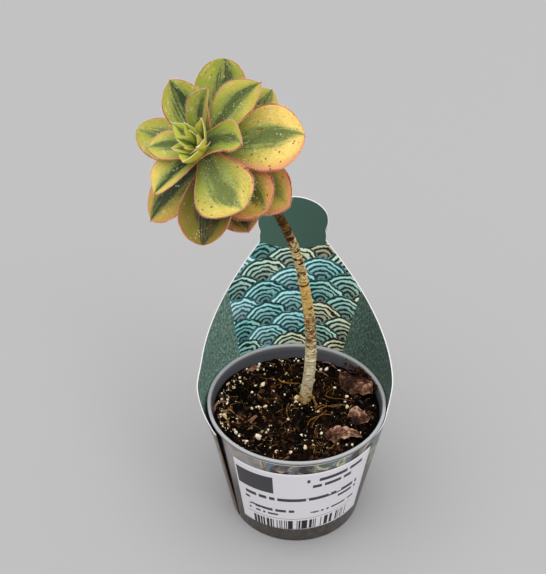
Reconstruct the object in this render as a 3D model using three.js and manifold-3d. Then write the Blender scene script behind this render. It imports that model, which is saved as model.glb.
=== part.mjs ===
// A potted aeonium: a bare leaning stem with one variegated rosette, rooted in a round nursery
// pot that wears a printed card sleeve with a tall display panel at the back.
// Millimetres, +Z up, origin at the middle of the pot's flat bottom, -Y is the front.
import * as THREE from 'three';
import { ParametricGeometry } from 'three/addons/geometries/ParametricGeometry.js';
import { mergeVertices } from 'three/addons/utils/BufferGeometryUtils.js';
import Module from 'manifold-3d';

const wasm = await Module();
wasm.setup();

// Running clearance between touching pieces
const gap = 0.3;

// Pot, a thin tapered tub with a thicker rolled lip
const potHeight = 79;
const potFootRadius = 40;
const potTaper = 0.1472;
const potWall = 0.9;
const potFloor = 1.2;
const lipUnderside = 76.8;
const lipRadius = 53.3;
const lipTopWidth = 1.7;
const potSides = 56;
const drainHoles = 6;
const drainRadius = 3.5;
const drainRing = 27;

// Soil, banked up to the wall all round and heaped highest on the right
const soilLevel = 66.5;
const soilHeap = 6.5;
const soilBank = 3.6;
const soilSlices = 44;
const soilRings = 12;
const soilFloor = potFloor + gap;
const grainCount = 26;

// Stem centre line, from below the soil up to the lowest leaf
const stemRoute = [
  [5.2, 11.5, 46], [5.7, 12, 67], [7.9, 12.2, 90], [8.3, 12, 111], [7.2, 11.2, 128],
  [4.9, 10, 145], [-0.2, 5, 174], [-6.6, -2, 196.5], [-13.2, -8, 212.5], [-26, -15.5, 231.5],
];
const stemFootRadius = 3.5;
const stemTopRadius = 2.3;
const stemFlare = 1.3;
const stemSides = 10;
const stemSteps = 96;
const scarSpacing = 5.2;
const scarHeight = 0.28;
const rootLength = 11;
const rootRadius = 0.75;

// Crown, the short leafy end of the stem, and the way the rosette faces
const crownFoot = new THREE.Vector3(-40, -23.5, 248.5);
const rosetteAxis = new THREE.Vector3(-0.38, -0.64, 0.67).normalize();
const crownLength = 15;
const crownRadius = 3.4;
const crownTaper = 0.5;
const budLength = 7;
const budRadius = 0.8;

// Leaf blade
const leafThickness = 2.3;
const widestShare = 0.64;
const leafSides = 12;
const leafSteps = 10;

// Rosette leaves, oldest first. around: turn about the rosette's axis in degrees. seat: height on
// the crown. lift: slope of the blade above the rosette's plane. base: width at the foot. curl: bow
// of the blade as a share of its length, hollow side up. sweep: sideways bow, in the same terms.
// fold: slope of each half of the blade. roll: turn about its own length. point: 0 for a round tip,
// 1 for a pointed one. A leaf that states no sweep or roll has none.
const rosetteLeaves = [
  { around: 345, seat: -1.5, lift: -10, length: 42, width: 25, base: 7,
    curl: 0.05, sweep: -0.04, fold: 6, point: 0.5 },
  { around: 311, seat: 1, lift: -16, length: 38, width: 24, base: 7,
    curl: 0.04, fold: 6, point: 0.5 },
  { around: 71, seat: 2, lift: -5, length: 42, width: 24, base: 7,
    curl: 0.05, fold: 6, point: 0.2 },
  { around: 333, seat: 3.5, lift: -3, length: 39, width: 27, base: 7,
    curl: 0.05, fold: 6, point: 0.3 },
  { around: 241, seat: 5, lift: -2, length: 43, width: 23, base: 7,
    curl: 0.05, sweep: 0.08, fold: 8, point: 0.3 },
  { around: 178, seat: 5, lift: 8, length: 42.5, width: 21, base: 7,
    curl: 0.06, fold: 8, point: 0.1 },
  { around: 286, seat: 7, lift: -2, length: 43, width: 28, base: 7,
    curl: 0.05, sweep: 0.02, fold: 8, point: 0.1 },
  { around: 26, seat: 9, lift: -5, length: 46.5, width: 33, base: 8,
    curl: 0.05, sweep: -0.06, fold: 8, point: 0.1 },
  { around: 98, seat: 8, lift: 10, length: 45, width: 29, base: 8,
    curl: 0.06, fold: 8, point: 0 },
  { around: 325, seat: 13, lift: 0, length: 36, width: 30, base: 10,
    curl: 0.06, sweep: 0.1, fold: 8, point: 0.3 },
  { around: 133, seat: 10, lift: 24, length: 38, width: 21, base: 8,
    curl: 0.06, fold: 12, point: 0.5 },
  { around: 60, seat: 12, lift: 13, length: 41, width: 21, base: 9,
    curl: 0.06, sweep: -0.14, fold: 12, point: 0.6 },
  { around: 245, seat: 13, lift: 14, length: 31, width: 21, base: 10,
    curl: 0.06, sweep: 0.12, fold: 28, roll: -12, point: 0.6 },
  { around: 198, seat: 13.5, lift: 20, length: 27, width: 14.5, base: 9,
    curl: 0.06, sweep: 0.07, fold: 16, point: 0.6 },
  { around: 16, seat: 15.5, lift: 8, length: 21.5, width: 16, base: 13,
    curl: 0.08, sweep: -0.27, fold: 14, roll: 6, point: 1 },
  { around: 85, seat: 15, lift: 36, length: 29.5, width: 16, base: 9,
    curl: 0.06, sweep: -0.16, fold: 32, roll: 10, point: 0.8 },
];

// Young leaves of the heart, outermost first, in the same terms
const heartLeaves = [
  { around: 278, seat: 14, lift: 57, length: 19.5, width: 17, base: 13,
    curl: 0.1, fold: 40, roll: -15, point: 0.8 },
  { around: 156, seat: 15, lift: 42, length: 19, width: 12, base: 9,
    curl: 0.08, fold: 30, point: 0.8 },
  { around: 72, seat: 15.5, lift: 56, length: 19, width: 11, base: 9,
    curl: 0.08, fold: 35, roll: 10, point: 0.9 },
  { around: 207, seat: 16, lift: 36, length: 14.5, width: 10, base: 7,
    curl: 0.08, fold: 30, point: 0.8 },
  { around: 335, seat: 15, lift: 68, length: 16, width: 13, base: 11,
    curl: 0.1, fold: 30, point: 0.8 },
  { around: 215, seat: 16.5, lift: 50, length: 15.5, width: 8, base: 6,
    curl: 0.08, fold: 30, point: 0.9 },
  { around: 128, seat: 16.5, lift: 58, length: 16, width: 8, base: 6,
    curl: 0.08, fold: 30, point: 0.9 },
  { around: 20, seat: 16.5, lift: 72, length: 17, width: 8, base: 6,
    curl: 0.08, fold: 30, point: 0.9 },
  { around: 190, seat: 17, lift: 66, length: 15.5, width: 7, base: 5,
    curl: 0.08, fold: 30, point: 0.9 },
  { around: 270, seat: 17, lift: 72, length: 14.5, width: 7, base: 5,
    curl: 0.08, fold: 30, point: 0.9 },
  { around: 100, seat: 17, lift: 76, length: 14.5, width: 6, base: 4,
    curl: 0.08, fold: 30, point: 0.9 },
];

// Card sleeve, a cone round the pot. Its angles count from the back, positive towards +X.
const cardThickness = 0.6;
const cardTurn = -1.7;
const cardFlare = 2;
const wingFlare = 2.4;
const headHalfAngle = 17.2;
const headShoulder = 163;
const headRise = 14;
const frontEdge = 75.6;
const seamAngle = -120.5;
const seamSlit = 1.6;
const seamLift = 1.4;
const cardFoot = 0.4;
const cardRows = 6;

// White sticker on the front of the sleeve, its angles from the front, positive towards +X
const labelFrom = -46;
const labelTo = 54;
const labelBottom = 13.5;
const labelTop = 68;
const labelTilt = 0.03;
const labelThickness = 0.4;

// Dry fallen leaves on the soil: middle, direction, length, width and crumple
const dryLeaves = [
  { x: 36.9, y: 17.6, heading: -52, length: 30, width: 16, crumple: 1.5 },
  { x: 37, y: -12, heading: -62, length: 17, width: 10, crumple: 1.1 },
  { x: 26.2, y: -26.8, heading: -22, length: 23, width: 13, crumple: 1.3 },
];
const dryThickness = 0.8;
const dryClearance = 0.9;

// Finishes
const leafGreen = new THREE.MeshStandardMaterial({ color: 0xb4b544, roughness: 0.5 });
const budGreen = new THREE.MeshStandardMaterial({ color: 0xa3b23f, roughness: 0.5 });
const stemBark = new THREE.MeshStandardMaterial({ color: 0xa88a55, roughness: 0.8 });
const soilPeat = new THREE.MeshStandardMaterial({ color: 0x2a1d15, roughness: 0.95 });
const potPlastic = new THREE.MeshStandardMaterial({ color: 0x5d5f63, roughness: 0.45 });
const cardPrint = new THREE.MeshStandardMaterial({ color: 0x44635c, roughness: 0.55 });
const labelPaper = new THREE.MeshStandardMaterial({ color: 0xe8e6ea, roughness: 0.6 });
const dryLeafSkin = new THREE.MeshStandardMaterial({ color: 0x80604e, roughness: 0.85 });

const degrees = Math.PI / 180;

function smoothStep(from, to, value) {
  const share = Math.min(1, Math.max(0, (value - from) / (to - from)));
  return share * share * (3 - 2 * share);
}

// Repeatable stand-in for chance, between 0 and 1
function chance(index) {
  const wave = Math.sin(index * 127.1 + 11.7) * 43758.5453;
  return wave - Math.floor(wave);
}

// A closed geometry as a solid, with its seam welded and its faces turned outwards
function solidOf(geometry) {
  const bare = geometry.clone();
  bare.deleteAttribute('normal');
  bare.deleteAttribute('uv');
  const welded = mergeVertices(bare, 1e-4);
  const place = welded.getAttribute('position');
  const corners = [];
  for (let i = 0; i < welded.index.count; i += 3) {
    const [a, b, c] = [0, 1, 2].map((k) => welded.index.getX(i + k));
    if (a !== b && b !== c && c !== a) corners.push(a, b, c);
  }
  if (signedVolume(place, corners) < 0) corners.reverse();
  const mesh = new wasm.Mesh({
    numProp: 3,
    vertProperties: new Float32Array(place.array),
    triVerts: new Uint32Array(corners),
  });
  return new wasm.Manifold(mesh);
}

function signedVolume(place, corners) {
  const [a, b, c] = [new THREE.Vector3(), new THREE.Vector3(), new THREE.Vector3()];
  let sum = 0;
  for (let i = 0; i < corners.length; i += 3) {
    a.fromBufferAttribute(place, corners[i]);
    b.fromBufferAttribute(place, corners[i + 1]);
    c.fromBufferAttribute(place, corners[i + 2]);
    sum += a.dot(b.cross(c)) / 6;
  }
  return sum;
}

function geometryOf(solid) {
  const { vertProperties, triVerts } = solid.getMesh();
  const geometry = new THREE.BufferGeometry();
  geometry.setAttribute('position', new THREE.BufferAttribute(vertProperties, 3));
  geometry.setIndex(new THREE.BufferAttribute(triVerts, 1));
  return geometry;
}

// The main body of a solid, without the scraps that a cut has freed or the hollows that a join sealed
function mainBody(solid) {
  return solid.decompose().reduce((a, b) => (b.volume() > a.volume() ? b : a));
}

// A closed skin from rings of points: ringPoint(turn 0..1, step) is called for each ring in turn.
// The first and the last ring have to shrink to a point or repeat each other.
function skinSolid(ringPoint, sides, steps) {
  const surface = (u, v, target) => {
    const side = Math.round(u * sides) % sides;
    target.copy(ringPoint(side / sides, Math.round(v * steps)));
  };
  return solidOf(new ParametricGeometry(surface, sides, steps));
}

// Pot

function potRadius(z) {
  return potFootRadius + potTaper * z;
}

function potSolid() {
  const top = potHeight;
  const profile = [
    [0, 0], [potFootRadius - 1, 0], [potFootRadius, 1], [potRadius(lipUnderside - 1), lipUnderside - 1],
    [lipRadius - 0.5, lipUnderside], [lipRadius, lipUnderside + 0.5], [lipRadius, top - 0.6],
    [lipRadius - 0.6, top], [lipRadius - lipTopWidth, top],
    [potRadius(lipUnderside) - potWall, lipUnderside - 1],
    [potFootRadius - potWall, potFloor], [0, potFloor],
  ];
  const tub = new THREE.LatheGeometry(profile.map(([r, z]) => new THREE.Vector2(r, z)), potSides);
  tub.rotateX(Math.PI / 2);
  let solid = solidOf(tub);
  for (let i = 0; i < drainHoles; i += 1) {
    const angle = (i / drainHoles) * 2 * Math.PI;
    const drill = new THREE.CylinderGeometry(drainRadius, drainRadius, 4 * potFloor, 12);
    drill.rotateX(Math.PI / 2);
    drill.translate(drainRing * Math.cos(angle), drainRing * Math.sin(angle), 0);
    solid = solid.subtract(solidOf(drill));
  }
  return solid;
}

// Stem and crown

const stemCurve = new THREE.CatmullRomCurve3(
  [
    ...stemRoute.map(([x, y, z]) => new THREE.Vector3(x, y, z)),
    crownFoot.clone(),
    crownFoot.clone().addScaledVector(rosetteAxis, crownLength * 0.5),
    crownFoot.clone().addScaledVector(rosetteAxis, crownLength),
  ],
  false,
  'centripetal',
);
const stemFrames = stemCurve.computeFrenetFrames(stemSteps, false);
const stemLength = stemCurve.getLength();

function crownRadiusAt(height) {
  return crownRadius - crownTaper * smoothStep(0, crownLength, height);
}

// Bare stem: flared at the soil, slimmer upwards, ringed by the scars of fallen leaves
function stemRadiusAt(along) {
  const share = along / stemLength;
  const fromTop = stemLength - along;
  const bare = THREE.MathUtils.lerp(stemFootRadius, stemTopRadius, smoothStep(0.1, 0.8, share));
  const flare = stemFlare * (1 - smoothStep(12, 32, along));
  const scar = scarHeight * Math.pow(Math.abs(Math.cos((Math.PI * along) / scarSpacing)), 6);
  const crown = crownRadiusAt(crownLength - fromTop);
  const toCrown = smoothStep(crownLength + 12, crownLength, fromTop);
  return THREE.MathUtils.lerp(bare + flare + scar, crown, toCrown);
}

function stemSolid(grow) {
  const ringPoint = (turn, step) => {
    const share = step / stemSteps;
    const centre = stemCurve.getPointAt(share);
    const isEnd = step === 0 || step === stemSteps;
    const reach = share < 0.5 ? -grow : grow;
    if (isEnd) return centre.addScaledVector(stemFrames.tangents[step], reach);
    const radius = stemRadiusAt(share * stemLength) + grow;
    const angle = 2 * Math.PI * turn;
    centre.addScaledVector(stemFrames.normals[step], radius * Math.cos(angle));
    return centre.addScaledVector(stemFrames.binormals[step], radius * Math.sin(angle));
  };
  return skinSolid(ringPoint, stemSides, stemSteps).add(propRootSolid(grow));
}

// A thin prop root that leaves the stem's foot and dips into the soil on the right
function propRootSolid(grow) {
  const route = new THREE.CatmullRomCurve3([
    new THREE.Vector3(6.2, 12, 74), new THREE.Vector3(9.8, 9.6, 72.5),
    new THREE.Vector3(12, 6.5, 68), new THREE.Vector3(12.6, 5, 68 - rootLength * 0.5),
  ]);
  const steps = 8;
  const frames = route.computeFrenetFrames(steps, false);
  const ringPoint = (turn, step) => {
    const centre = route.getPointAt(step / steps);
    const radius = step === 0 || step === steps ? 0 : rootRadius + grow;
    const angle = 2 * Math.PI * turn;
    centre.addScaledVector(frames.normals[step], radius * Math.cos(angle));
    return centre.addScaledVector(frames.binormals[step], radius * Math.sin(angle));
  };
  return skinSolid(ringPoint, 6, steps);
}

// Soil

function soilHeight(x, y) {
  const rightness = smoothStep(18, 46, x - 0.15 * y);
  const heap = soilHeap * rightness + soilBank * (1 - rightness) * smoothStep(20, 46, Math.hypot(x, y));
  const slope = 1.6 * smoothStep(10, -40, y) + 2 * smoothStep(-20, -46, x);
  const mound = 1.2 * Math.exp(-((x - 6) ** 2 + (y - 12) ** 2) / 160);
  const lumps = 0.9 * Math.sin(x * 0.31 + 1.3) * Math.cos(y * 0.27) + 0.5 * Math.sin(x * 0.83 - y * 0.59);
  const edge = 1 - smoothStep(40, 50, Math.hypot(x, y));
  return soilLevel + heap + slope + mound + lumps * (0.4 + 0.6 * edge);
}

function soilSolid() {
  const wallSteps = 2;
  const steps = 1 + wallSteps + soilRings;
  const ringPoint = (turn, step) => {
    const angle = 2 * Math.PI * turn;
    const [across, forward] = [Math.cos(angle), Math.sin(angle)];
    if (step === 0) return new THREE.Vector3(0, 0, soilFloor);
    if (step <= wallSteps) {
      const rim = potRadius(60) - potWall;
      const edgeTop = Math.min(soilHeight(across * rim, forward * rim), lipUnderside - 2);
      const z = step === 1 ? soilFloor : edgeTop;
      const radius = potRadius(z) - potWall - gap * 1.6;
      return new THREE.Vector3(across * radius, forward * radius, z);
    }
    const ring = 1 - (step - wallSteps) / (soilRings + 1);
    if (step === steps) return new THREE.Vector3(0, 0, soilHeight(0, 0));
    const radius = (potRadius(soilLevel) - potWall - gap) * ring;
    const [x, y] = [across * radius, forward * radius];
    return new THREE.Vector3(x, y, soilHeight(x, y));
  };
  let solid = skinSolid(ringPoint, soilSlices, steps);
  for (let i = 0; i < grainCount; i += 1) solid = solid.add(grainSolid(i));
  return solid.subtract(stemSolid(gap));
}

// A pale mineral grain half sunk in the soil, spread by the golden angle and kept off the stem
function grainSolid(index) {
  const angle = index * 137.5 * degrees;
  const radius = 12 + 31 * Math.sqrt((index + 0.5) / grainCount);
  const [x, y] = [radius * Math.cos(angle), radius * Math.sin(angle)];
  const size = 1.1 + 1.1 * chance(index);
  const grain = new THREE.IcosahedronGeometry(size, 0);
  grain.rotateZ(index);
  const sunk = isUnderDryLeaf(x, y) ? size + 0.6 : -0.25 * size;
  grain.translate(x, y, soilHeight(x, y) - sunk);
  return solidOf(grain);
}

function isUnderDryLeaf(x, y) {
  return dryLeaves.some((leaf) => Math.hypot(x - leaf.x, y - leaf.y) < leaf.length / 2 + 3);
}

// A crumpled fallen leaf: a wavy lens-shaped sheet that follows the soil a little above it
function dryLeafSolid(leaf) {
  const steps = 9;
  const heading = leaf.heading * degrees;
  const ringPoint = (turn, step) => {
    const along = step / steps;
    const angle = 2 * Math.PI * turn;
    const ragged = 1 + 0.16 * Math.sin(17 * along);
    const half = 0.5 * leaf.width * Math.pow(Math.sin(Math.PI * along), 0.8) * ragged;
    const across = half * Math.cos(angle);
    const forward = (along - 0.5) * leaf.length;
    const x = leaf.x + forward * Math.cos(heading) - across * Math.sin(heading);
    const y = leaf.y + forward * Math.sin(heading) + across * Math.cos(heading);
    const fold = Math.sin(0.55 * across + 5 * along) * Math.cos(0.31 * forward + 0.4 * across);
    const isEnd = step === 0 || step === steps;
    const sine = Math.sin(angle);
    const skin = isEnd ? 0 : 0.5 * dryThickness * Math.sign(sine) * Math.sqrt(Math.abs(sine));
    const z = soilHeight(x, y) + dryClearance + 0.7 * leaf.crumple * (1 + fold) + skin;
    return new THREE.Vector3(x, y, z);
  };
  return skinSolid(ringPoint, leafSides, steps);
}

// Leaves

const sideways = new THREE.Vector3(0, 0, 1).cross(rosetteAxis).normalize();
const upwards = rosetteAxis.clone().cross(sideways);

// Half width of the blade at a share of its length: narrow at the base, widest past the middle
function bladeHalfWidth(leaf, share) {
  if (share < widestShare) {
    const rise = Math.sin((0.5 * Math.PI * share) / widestShare);
    return 0.5 * THREE.MathUtils.lerp(leaf.base, leaf.width, Math.pow(rise, 1.5));
  }
  const past = (share - widestShare) / (1 - widestShare);
  return 0.5 * leaf.width * Math.pow(1 - past * past, 0.5 + 0.5 * leaf.point);
}

// Direction between two crossing ones, turned from the first towards the second
function turned(first, second, angle) {
  return first.clone().multiplyScalar(Math.cos(angle)).addScaledVector(second, Math.sin(angle));
}

// One fleshy blade: a lens-shaped section swept from the crown's axis to the tip
function leafSolid(leaf, grow, sides, steps) {
  const { sweep = 0, roll = 0 } = leaf;
  const outwards = turned(sideways, upwards, leaf.around * degrees);
  const chord = turned(outwards, rosetteAxis, leaf.lift * degrees);
  const face = turned(rosetteAxis, outwards, -leaf.lift * degrees);
  const side = chord.clone().cross(face);
  const across = turned(side, face, roll * degrees);
  const up = turned(face, side, -roll * degrees);
  const foot = crownFoot.clone().addScaledVector(rosetteAxis, leaf.seat);
  const fold = leaf.fold * degrees;
  const ringPoint = (turn, step) => {
    const share = Math.sin((0.5 * Math.PI * step) / steps);
    const angle = 2 * Math.PI * turn;
    const isBase = step === 0;
    const isTip = step === steps;
    const half = isBase || isTip ? 0 : bladeHalfWidth(leaf, share) + grow;
    const reach = half * Math.cos(angle);
    const valley = Math.sqrt(reach * reach + 1) - 1;
    const bow = -4 * leaf.curl * leaf.length * share * (1 - share);
    const body = 0.5 * leafThickness * (1 - 0.45 * share) * Math.min(1, leaf.width / 14) + grow;
    const sine = Math.sin(angle);
    const skin = isBase || isTip ? 0 : body * Math.sign(sine) * Math.sqrt(Math.abs(sine));
    const point = foot.clone().addScaledVector(chord, share * leaf.length + (isTip ? grow : 0));
    const swept = 4 * sweep * leaf.length * share * (1 - share);
    point.addScaledVector(across, reach * Math.cos(fold) + swept);
    return point.addScaledVector(up, bow + valley * Math.sin(fold) + skin);
  };
  return skinSolid(ringPoint, sides, steps);
}

// The heart: young leaves packed round a small cone that carries on from the crown
function heartSolid(grow) {
  const coneFrom = crownFoot.clone().addScaledVector(rosetteAxis, crownLength + gap - grow);
  const footRadius = crownRadiusAt(crownLength) + grow;
  const cone = new THREE.CylinderGeometry(budRadius + grow, footRadius, budLength + 2 * grow, 10);
  cone.translate(0, budLength / 2 + grow, 0);
  cone.applyQuaternion(new THREE.Quaternion().setFromUnitVectors(new THREE.Vector3(0, 1, 0), rosetteAxis));
  cone.translate(coneFrom.x, coneFrom.y, coneFrom.z);
  let solid = solidOf(cone);
  for (const leaf of heartLeaves) solid = solid.add(leafSolid(leaf, grow, 8, 7));
  return solid;
}

// Card sleeve

// Height of the sleeve's cut edge at an angle from the back: head, sloping wings, low front
function cardEdge(angle) {
  const turned = Math.abs(angle - cardTurn);
  if (turned < headHalfAngle) {
    return headShoulder + headRise * Math.sqrt(1 - (turned / headHalfAngle) ** 2);
  }
  const wing = 173 - 1.37 * turned + 0.0053 * turned * turned;
  return THREE.MathUtils.lerp(wing, frontEdge, smoothStep(92, 109, turned));
}

// Inner radius of the sleeve: it passes outside the lip at the back and sides, under it in front,
// and the low end of its left wing is bent outwards
function cardRadius(angle, z) {
  const outside = 1 - smoothStep(106, 135, Math.abs(angle - cardTurn));
  const left = cardTurn - angle;
  const bent = smoothStep(76, 96, left) * (1 - smoothStep(100, 118, left)) * smoothStep(55, 88, z);
  return potRadius(z) + gap + (outside * cardFlare * z) / 76 + bent * wingFlare;
}

// Angles of the upright stations, closer at the head's sides and the ends of the low front
function cardStations() {
  const from = seamAngle;
  const to = seamAngle + 360;
  const [headLeft, headRight] = [cardTurn - headHalfAngle, cardTurn + headHalfAngle];
  const runs = [
    [from, from + 8, 3], [from + 8, headLeft - 0.05, 18], [headLeft + 0.05, headRight - 0.05, 14],
    [headRight + 0.05, headRight + 76, 12], [headRight + 76, headRight + 96, 6], [headRight + 96, to, 20],
  ];
  const angles = [];
  runs.forEach(([start, end, count], index) => {
    const first = index === 0 || Math.abs(start - runs[index - 1][1]) > 0.01 ? 0 : 1;
    for (let i = first; i <= count; i += 1) angles.push(start + ((end - start) * i) / count);
  });
  return angles;
}

// A place on the sleeve's inner or outer face; at the seam its left end stands off
function cardPoint(angle, share, outer) {
  const [first, last] = [seamAngle, seamAngle + 360];
  const z = THREE.MathUtils.lerp(cardFoot, cardEdge(angle), share);
  const slit = (seamSlit * smoothStep(last - 30, last, angle)) / (potFootRadius * degrees);
  const lifted = seamLift * (1 - smoothStep(first, first + 12, angle)) * (z / frontEdge);
  const radius = cardRadius(angle, z) + outer * cardThickness + lifted;
  const at = (angle - slit) * degrees;
  return new THREE.Vector3(radius * Math.sin(at), radius * Math.cos(at), z);
}

function cardSolid() {
  const stations = cardStations();
  const ringPoint = (turn, step) => {
    const isCap = step === 0 || step === stations.length + 1;
    const angle = stations[Math.min(stations.length - 1, Math.max(0, step - 1))];
    if (isCap) return cardPoint(angle, 0.5, 0.5);
    const corner = Math.round(turn * 2 * (cardRows + 1));
    const isOuter = corner > cardRows;
    const row = isOuter ? 2 * cardRows + 1 - corner : corner;
    return cardPoint(angle, row / cardRows, Number(isOuter));
  };
  return skinSolid(ringPoint, 2 * (cardRows + 1), stations.length + 1).subtract(neckNotches());
}

// Two small round nicks where the head of the card meets its wings
function neckNotches() {
  const nicks = [-1, 1].map((hand) => {
    const drill = new THREE.CylinderGeometry(3, 3, 12, 14);
    const angle = (cardTurn + hand * (headHalfAngle + 1.1)) * degrees;
    drill.rotateZ(-angle);
    const radius = cardRadius(0, headShoulder - 8);
    drill.translate(radius * Math.sin(angle), radius * Math.cos(angle), headShoulder - 8.5);
    return solidOf(drill);
  });
  return nicks[0].add(nicks[1]);
}

// Sticker, a thin patch bent round the front of the sleeve
function labelSolid() {
  const steps = 22;
  const ringPoint = (turn, step) => {
    const corner = Math.round(turn * 4);
    const isCap = step === 0 || step === steps + 2;
    const share = Math.min(1, Math.max(0, (step - 1) / steps));
    const angle = labelFrom + (labelTo - labelFrom) * share;
    const tilt = labelTilt * angle;
    const edges = [labelBottom + tilt, labelTop + tilt];
    const z = isCap ? 0.5 * (edges[0] + edges[1]) : edges[corner === 0 || corner === 1 ? 0 : 1];
    const outer = isCap ? 0.5 : Number(corner === 1 || corner === 2);
    const radius = cardRadius(180 - angle, z) + cardThickness + gap + outer * labelThickness;
    return new THREE.Vector3(radius * Math.sin(angle * degrees), -radius * Math.cos(angle * degrees), z);
  };
  return skinSolid(ringPoint, 4, steps + 2);
}

// Assembly

const plant = new THREE.Group();

function addPiece(name, solid, material) {
  const mesh = new THREE.Mesh(geometryOf(solid), material);
  mesh.name = name;
  plant.add(mesh);
}

addPiece('pot', potSolid(), potPlastic);
addPiece('soil', mainBody(soilSolid()), soilPeat);
addPiece('stem', stemSolid(0), stemBark);
addPiece('sleeve', cardSolid(), cardPrint);
addPiece('label', labelSolid(), labelPaper);
dryLeaves.forEach((leaf, index) => addPiece(`dry_leaf_${index + 1}`, dryLeafSolid(leaf), dryLeafSkin));
addPiece('heart', mainBody(heartSolid(0).subtract(stemSolid(gap))), budGreen);

// Older leaves give way to the crown and to every younger leaf above them
let taken = stemSolid(gap).add(heartSolid(gap));
for (let i = rosetteLeaves.length - 1; i >= 0; i -= 1) {
  const leaf = rosetteLeaves[i];
  const solid = mainBody(leafSolid(leaf, 0, leafSides, leafSteps).subtract(taken));
  addPiece(`leaf_${String(i + 1).padStart(2, '0')}`, solid, leafGreen);
  taken = taken.add(leafSolid(leaf, gap, leafSides, leafSteps));
}

export default plant;
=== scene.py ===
# %% [markdown]
# A potted aeonium, dressed for its portrait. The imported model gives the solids, their places and
# their names. This lesson gives every piece a finer mesh and a finish that follows the real thing:
# fleshy variegated leaves, a scarred stem, damp peat, a thin plastic pot and a printed card sleeve.

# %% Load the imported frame
import math
import random
from functools import partial

import bmesh
import bpy
from mathutils import Matrix, Vector, kdtree, noise


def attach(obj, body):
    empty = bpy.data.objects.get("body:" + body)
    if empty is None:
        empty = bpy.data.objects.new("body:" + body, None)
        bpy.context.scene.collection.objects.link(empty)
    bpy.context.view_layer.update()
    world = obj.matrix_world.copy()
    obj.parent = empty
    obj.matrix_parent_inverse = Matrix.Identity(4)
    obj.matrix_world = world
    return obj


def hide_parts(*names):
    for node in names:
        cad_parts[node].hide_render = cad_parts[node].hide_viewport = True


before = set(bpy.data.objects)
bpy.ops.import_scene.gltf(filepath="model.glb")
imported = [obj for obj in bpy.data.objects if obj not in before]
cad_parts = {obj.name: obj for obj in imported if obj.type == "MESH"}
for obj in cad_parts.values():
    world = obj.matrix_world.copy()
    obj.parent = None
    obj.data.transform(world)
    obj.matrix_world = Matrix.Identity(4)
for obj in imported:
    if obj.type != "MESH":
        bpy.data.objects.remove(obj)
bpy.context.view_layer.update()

print("nodes in the frame:", len(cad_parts))

# %% [markdown]
# Everything below is written in millimetres, as the model's source is, and turned to metres when a
# piece is finished. Colours are written as sRGB hex, the way a paint program shows them, and the
# shader wants them linear, so one function does that turn for all of them.

# %% Units and colours
MM = 0.001


def colour(code):
    """Turns an sRGB hex colour such as '#b4b544' into the linear one that a shader wants."""
    channels = [int(code[i:i + 2], 16) / 255 for i in (1, 3, 5)]
    linear = [c / 12.92 if c <= 0.04045 else ((c + 0.055) / 1.055) ** 2.4 for c in channels]
    return (*linear, 1.0)


def smooth_step(low, high, value):
    """0 below low, 1 above high, and a smooth rise between them."""
    share = min(1.0, max(0.0, (value - low) / (high - low)))
    return share * share * (3 - 2 * share)


def mix(first, second, share):
    """The value that lies a share of the way from the first to the second."""
    return first + (second - first) * share


def roughness_of(place, size, seed=0.0):
    """Soft noise between -1 and 1 with lumps of about that size, the same on every run."""
    return noise.noise(Vector((place[0], place[1], place[2] + seed)) / size)


# %% [markdown]
# The photograph looks down on the plant from about 35 degrees, from a little over half a metre
# away. A fixed camera with that place and slope gives the same outline. The lens is written from
# its focal length in picture heights, so that the frame of 546 by 574 shows the plant at its size.

# %% Camera
PICTURE_HEIGHT = 574
FOCAL_PIXELS = 900
CAMERA_PLACE = Vector((-14.05, -405.0, 439.3))
CAMERA_DOWN = math.radians(34.6)

camera_data = bpy.data.cameras.new("portrait_camera")
camera_data.sensor_fit = "VERTICAL"
camera_data.sensor_height = 36
camera_data.lens = 36 * FOCAL_PIXELS / PICTURE_HEIGHT
camera_data.clip_start = 0.01
camera_data.clip_end = 50
camera = bpy.data.objects.new("portrait_camera", camera_data)
camera.location = CAMERA_PLACE * MM
camera.rotation_euler = (math.pi / 2 - CAMERA_DOWN, 0, 0)
bpy.context.scene.collection.objects.link(camera)
bpy.context.scene.camera = camera
print("lens in mm:", round(camera_data.lens, 2))

# %% [markdown]
# A shader is a small graph of nodes. One function adds a node with its settings and its inputs. An
# input is a plain value, a socket, or another node, which then gives its first output in use. The
# kind is the node's type without the words that all shader nodes begin with.

# %% One way to add a shader node


def add_node(tree, kind, settings=None, inputs=None):
    """Adds a shader node: settings are its own options, inputs are values, sockets or nodes."""
    node = tree.nodes.new("ShaderNode" + kind)
    for name, value in (settings or {}).items():
        setattr(node, name, value)
    for name, value in (inputs or {}).items():
        if isinstance(value, bpy.types.Node):
            value = next(socket for socket in value.outputs if socket.enabled)
        if isinstance(value, bpy.types.NodeSocket):
            tree.links.new(value, node.inputs[name])
        else:
            node.inputs[name].default_value = value
    return node


# Settings that many nodes share
SMOOTHSTEP = {"interpolation_type": "SMOOTHSTEP"}
RGBA = {"data_type": "RGBA"}
MULTIPLY = {"operation": "MULTIPLY"}
MULTIPLY_ADD = {"operation": "MULTIPLY_ADD"}
SUBTRACT = {"operation": "SUBTRACT"}
SCALE = {"operation": "SCALE"}
FLOOR = {"operation": "FLOOR"}
LESS_THAN = {"operation": "LESS_THAN"}
GREATER_THAN = {"operation": "GREATER_THAN"}


def new_material(name):
    """A material with an empty graph, and add_node bound to that graph."""
    material = bpy.data.materials.new(name)
    material.use_nodes = True
    material.node_tree.nodes.clear()
    return material, partial(add_node, material.node_tree)


def close_material(add, inputs):
    """Ends a graph with the one shader that all these finishes use."""
    shader = add("BsdfPrincipled", inputs=inputs)
    add("OutputMaterial", inputs={"Surface": shader})


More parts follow.
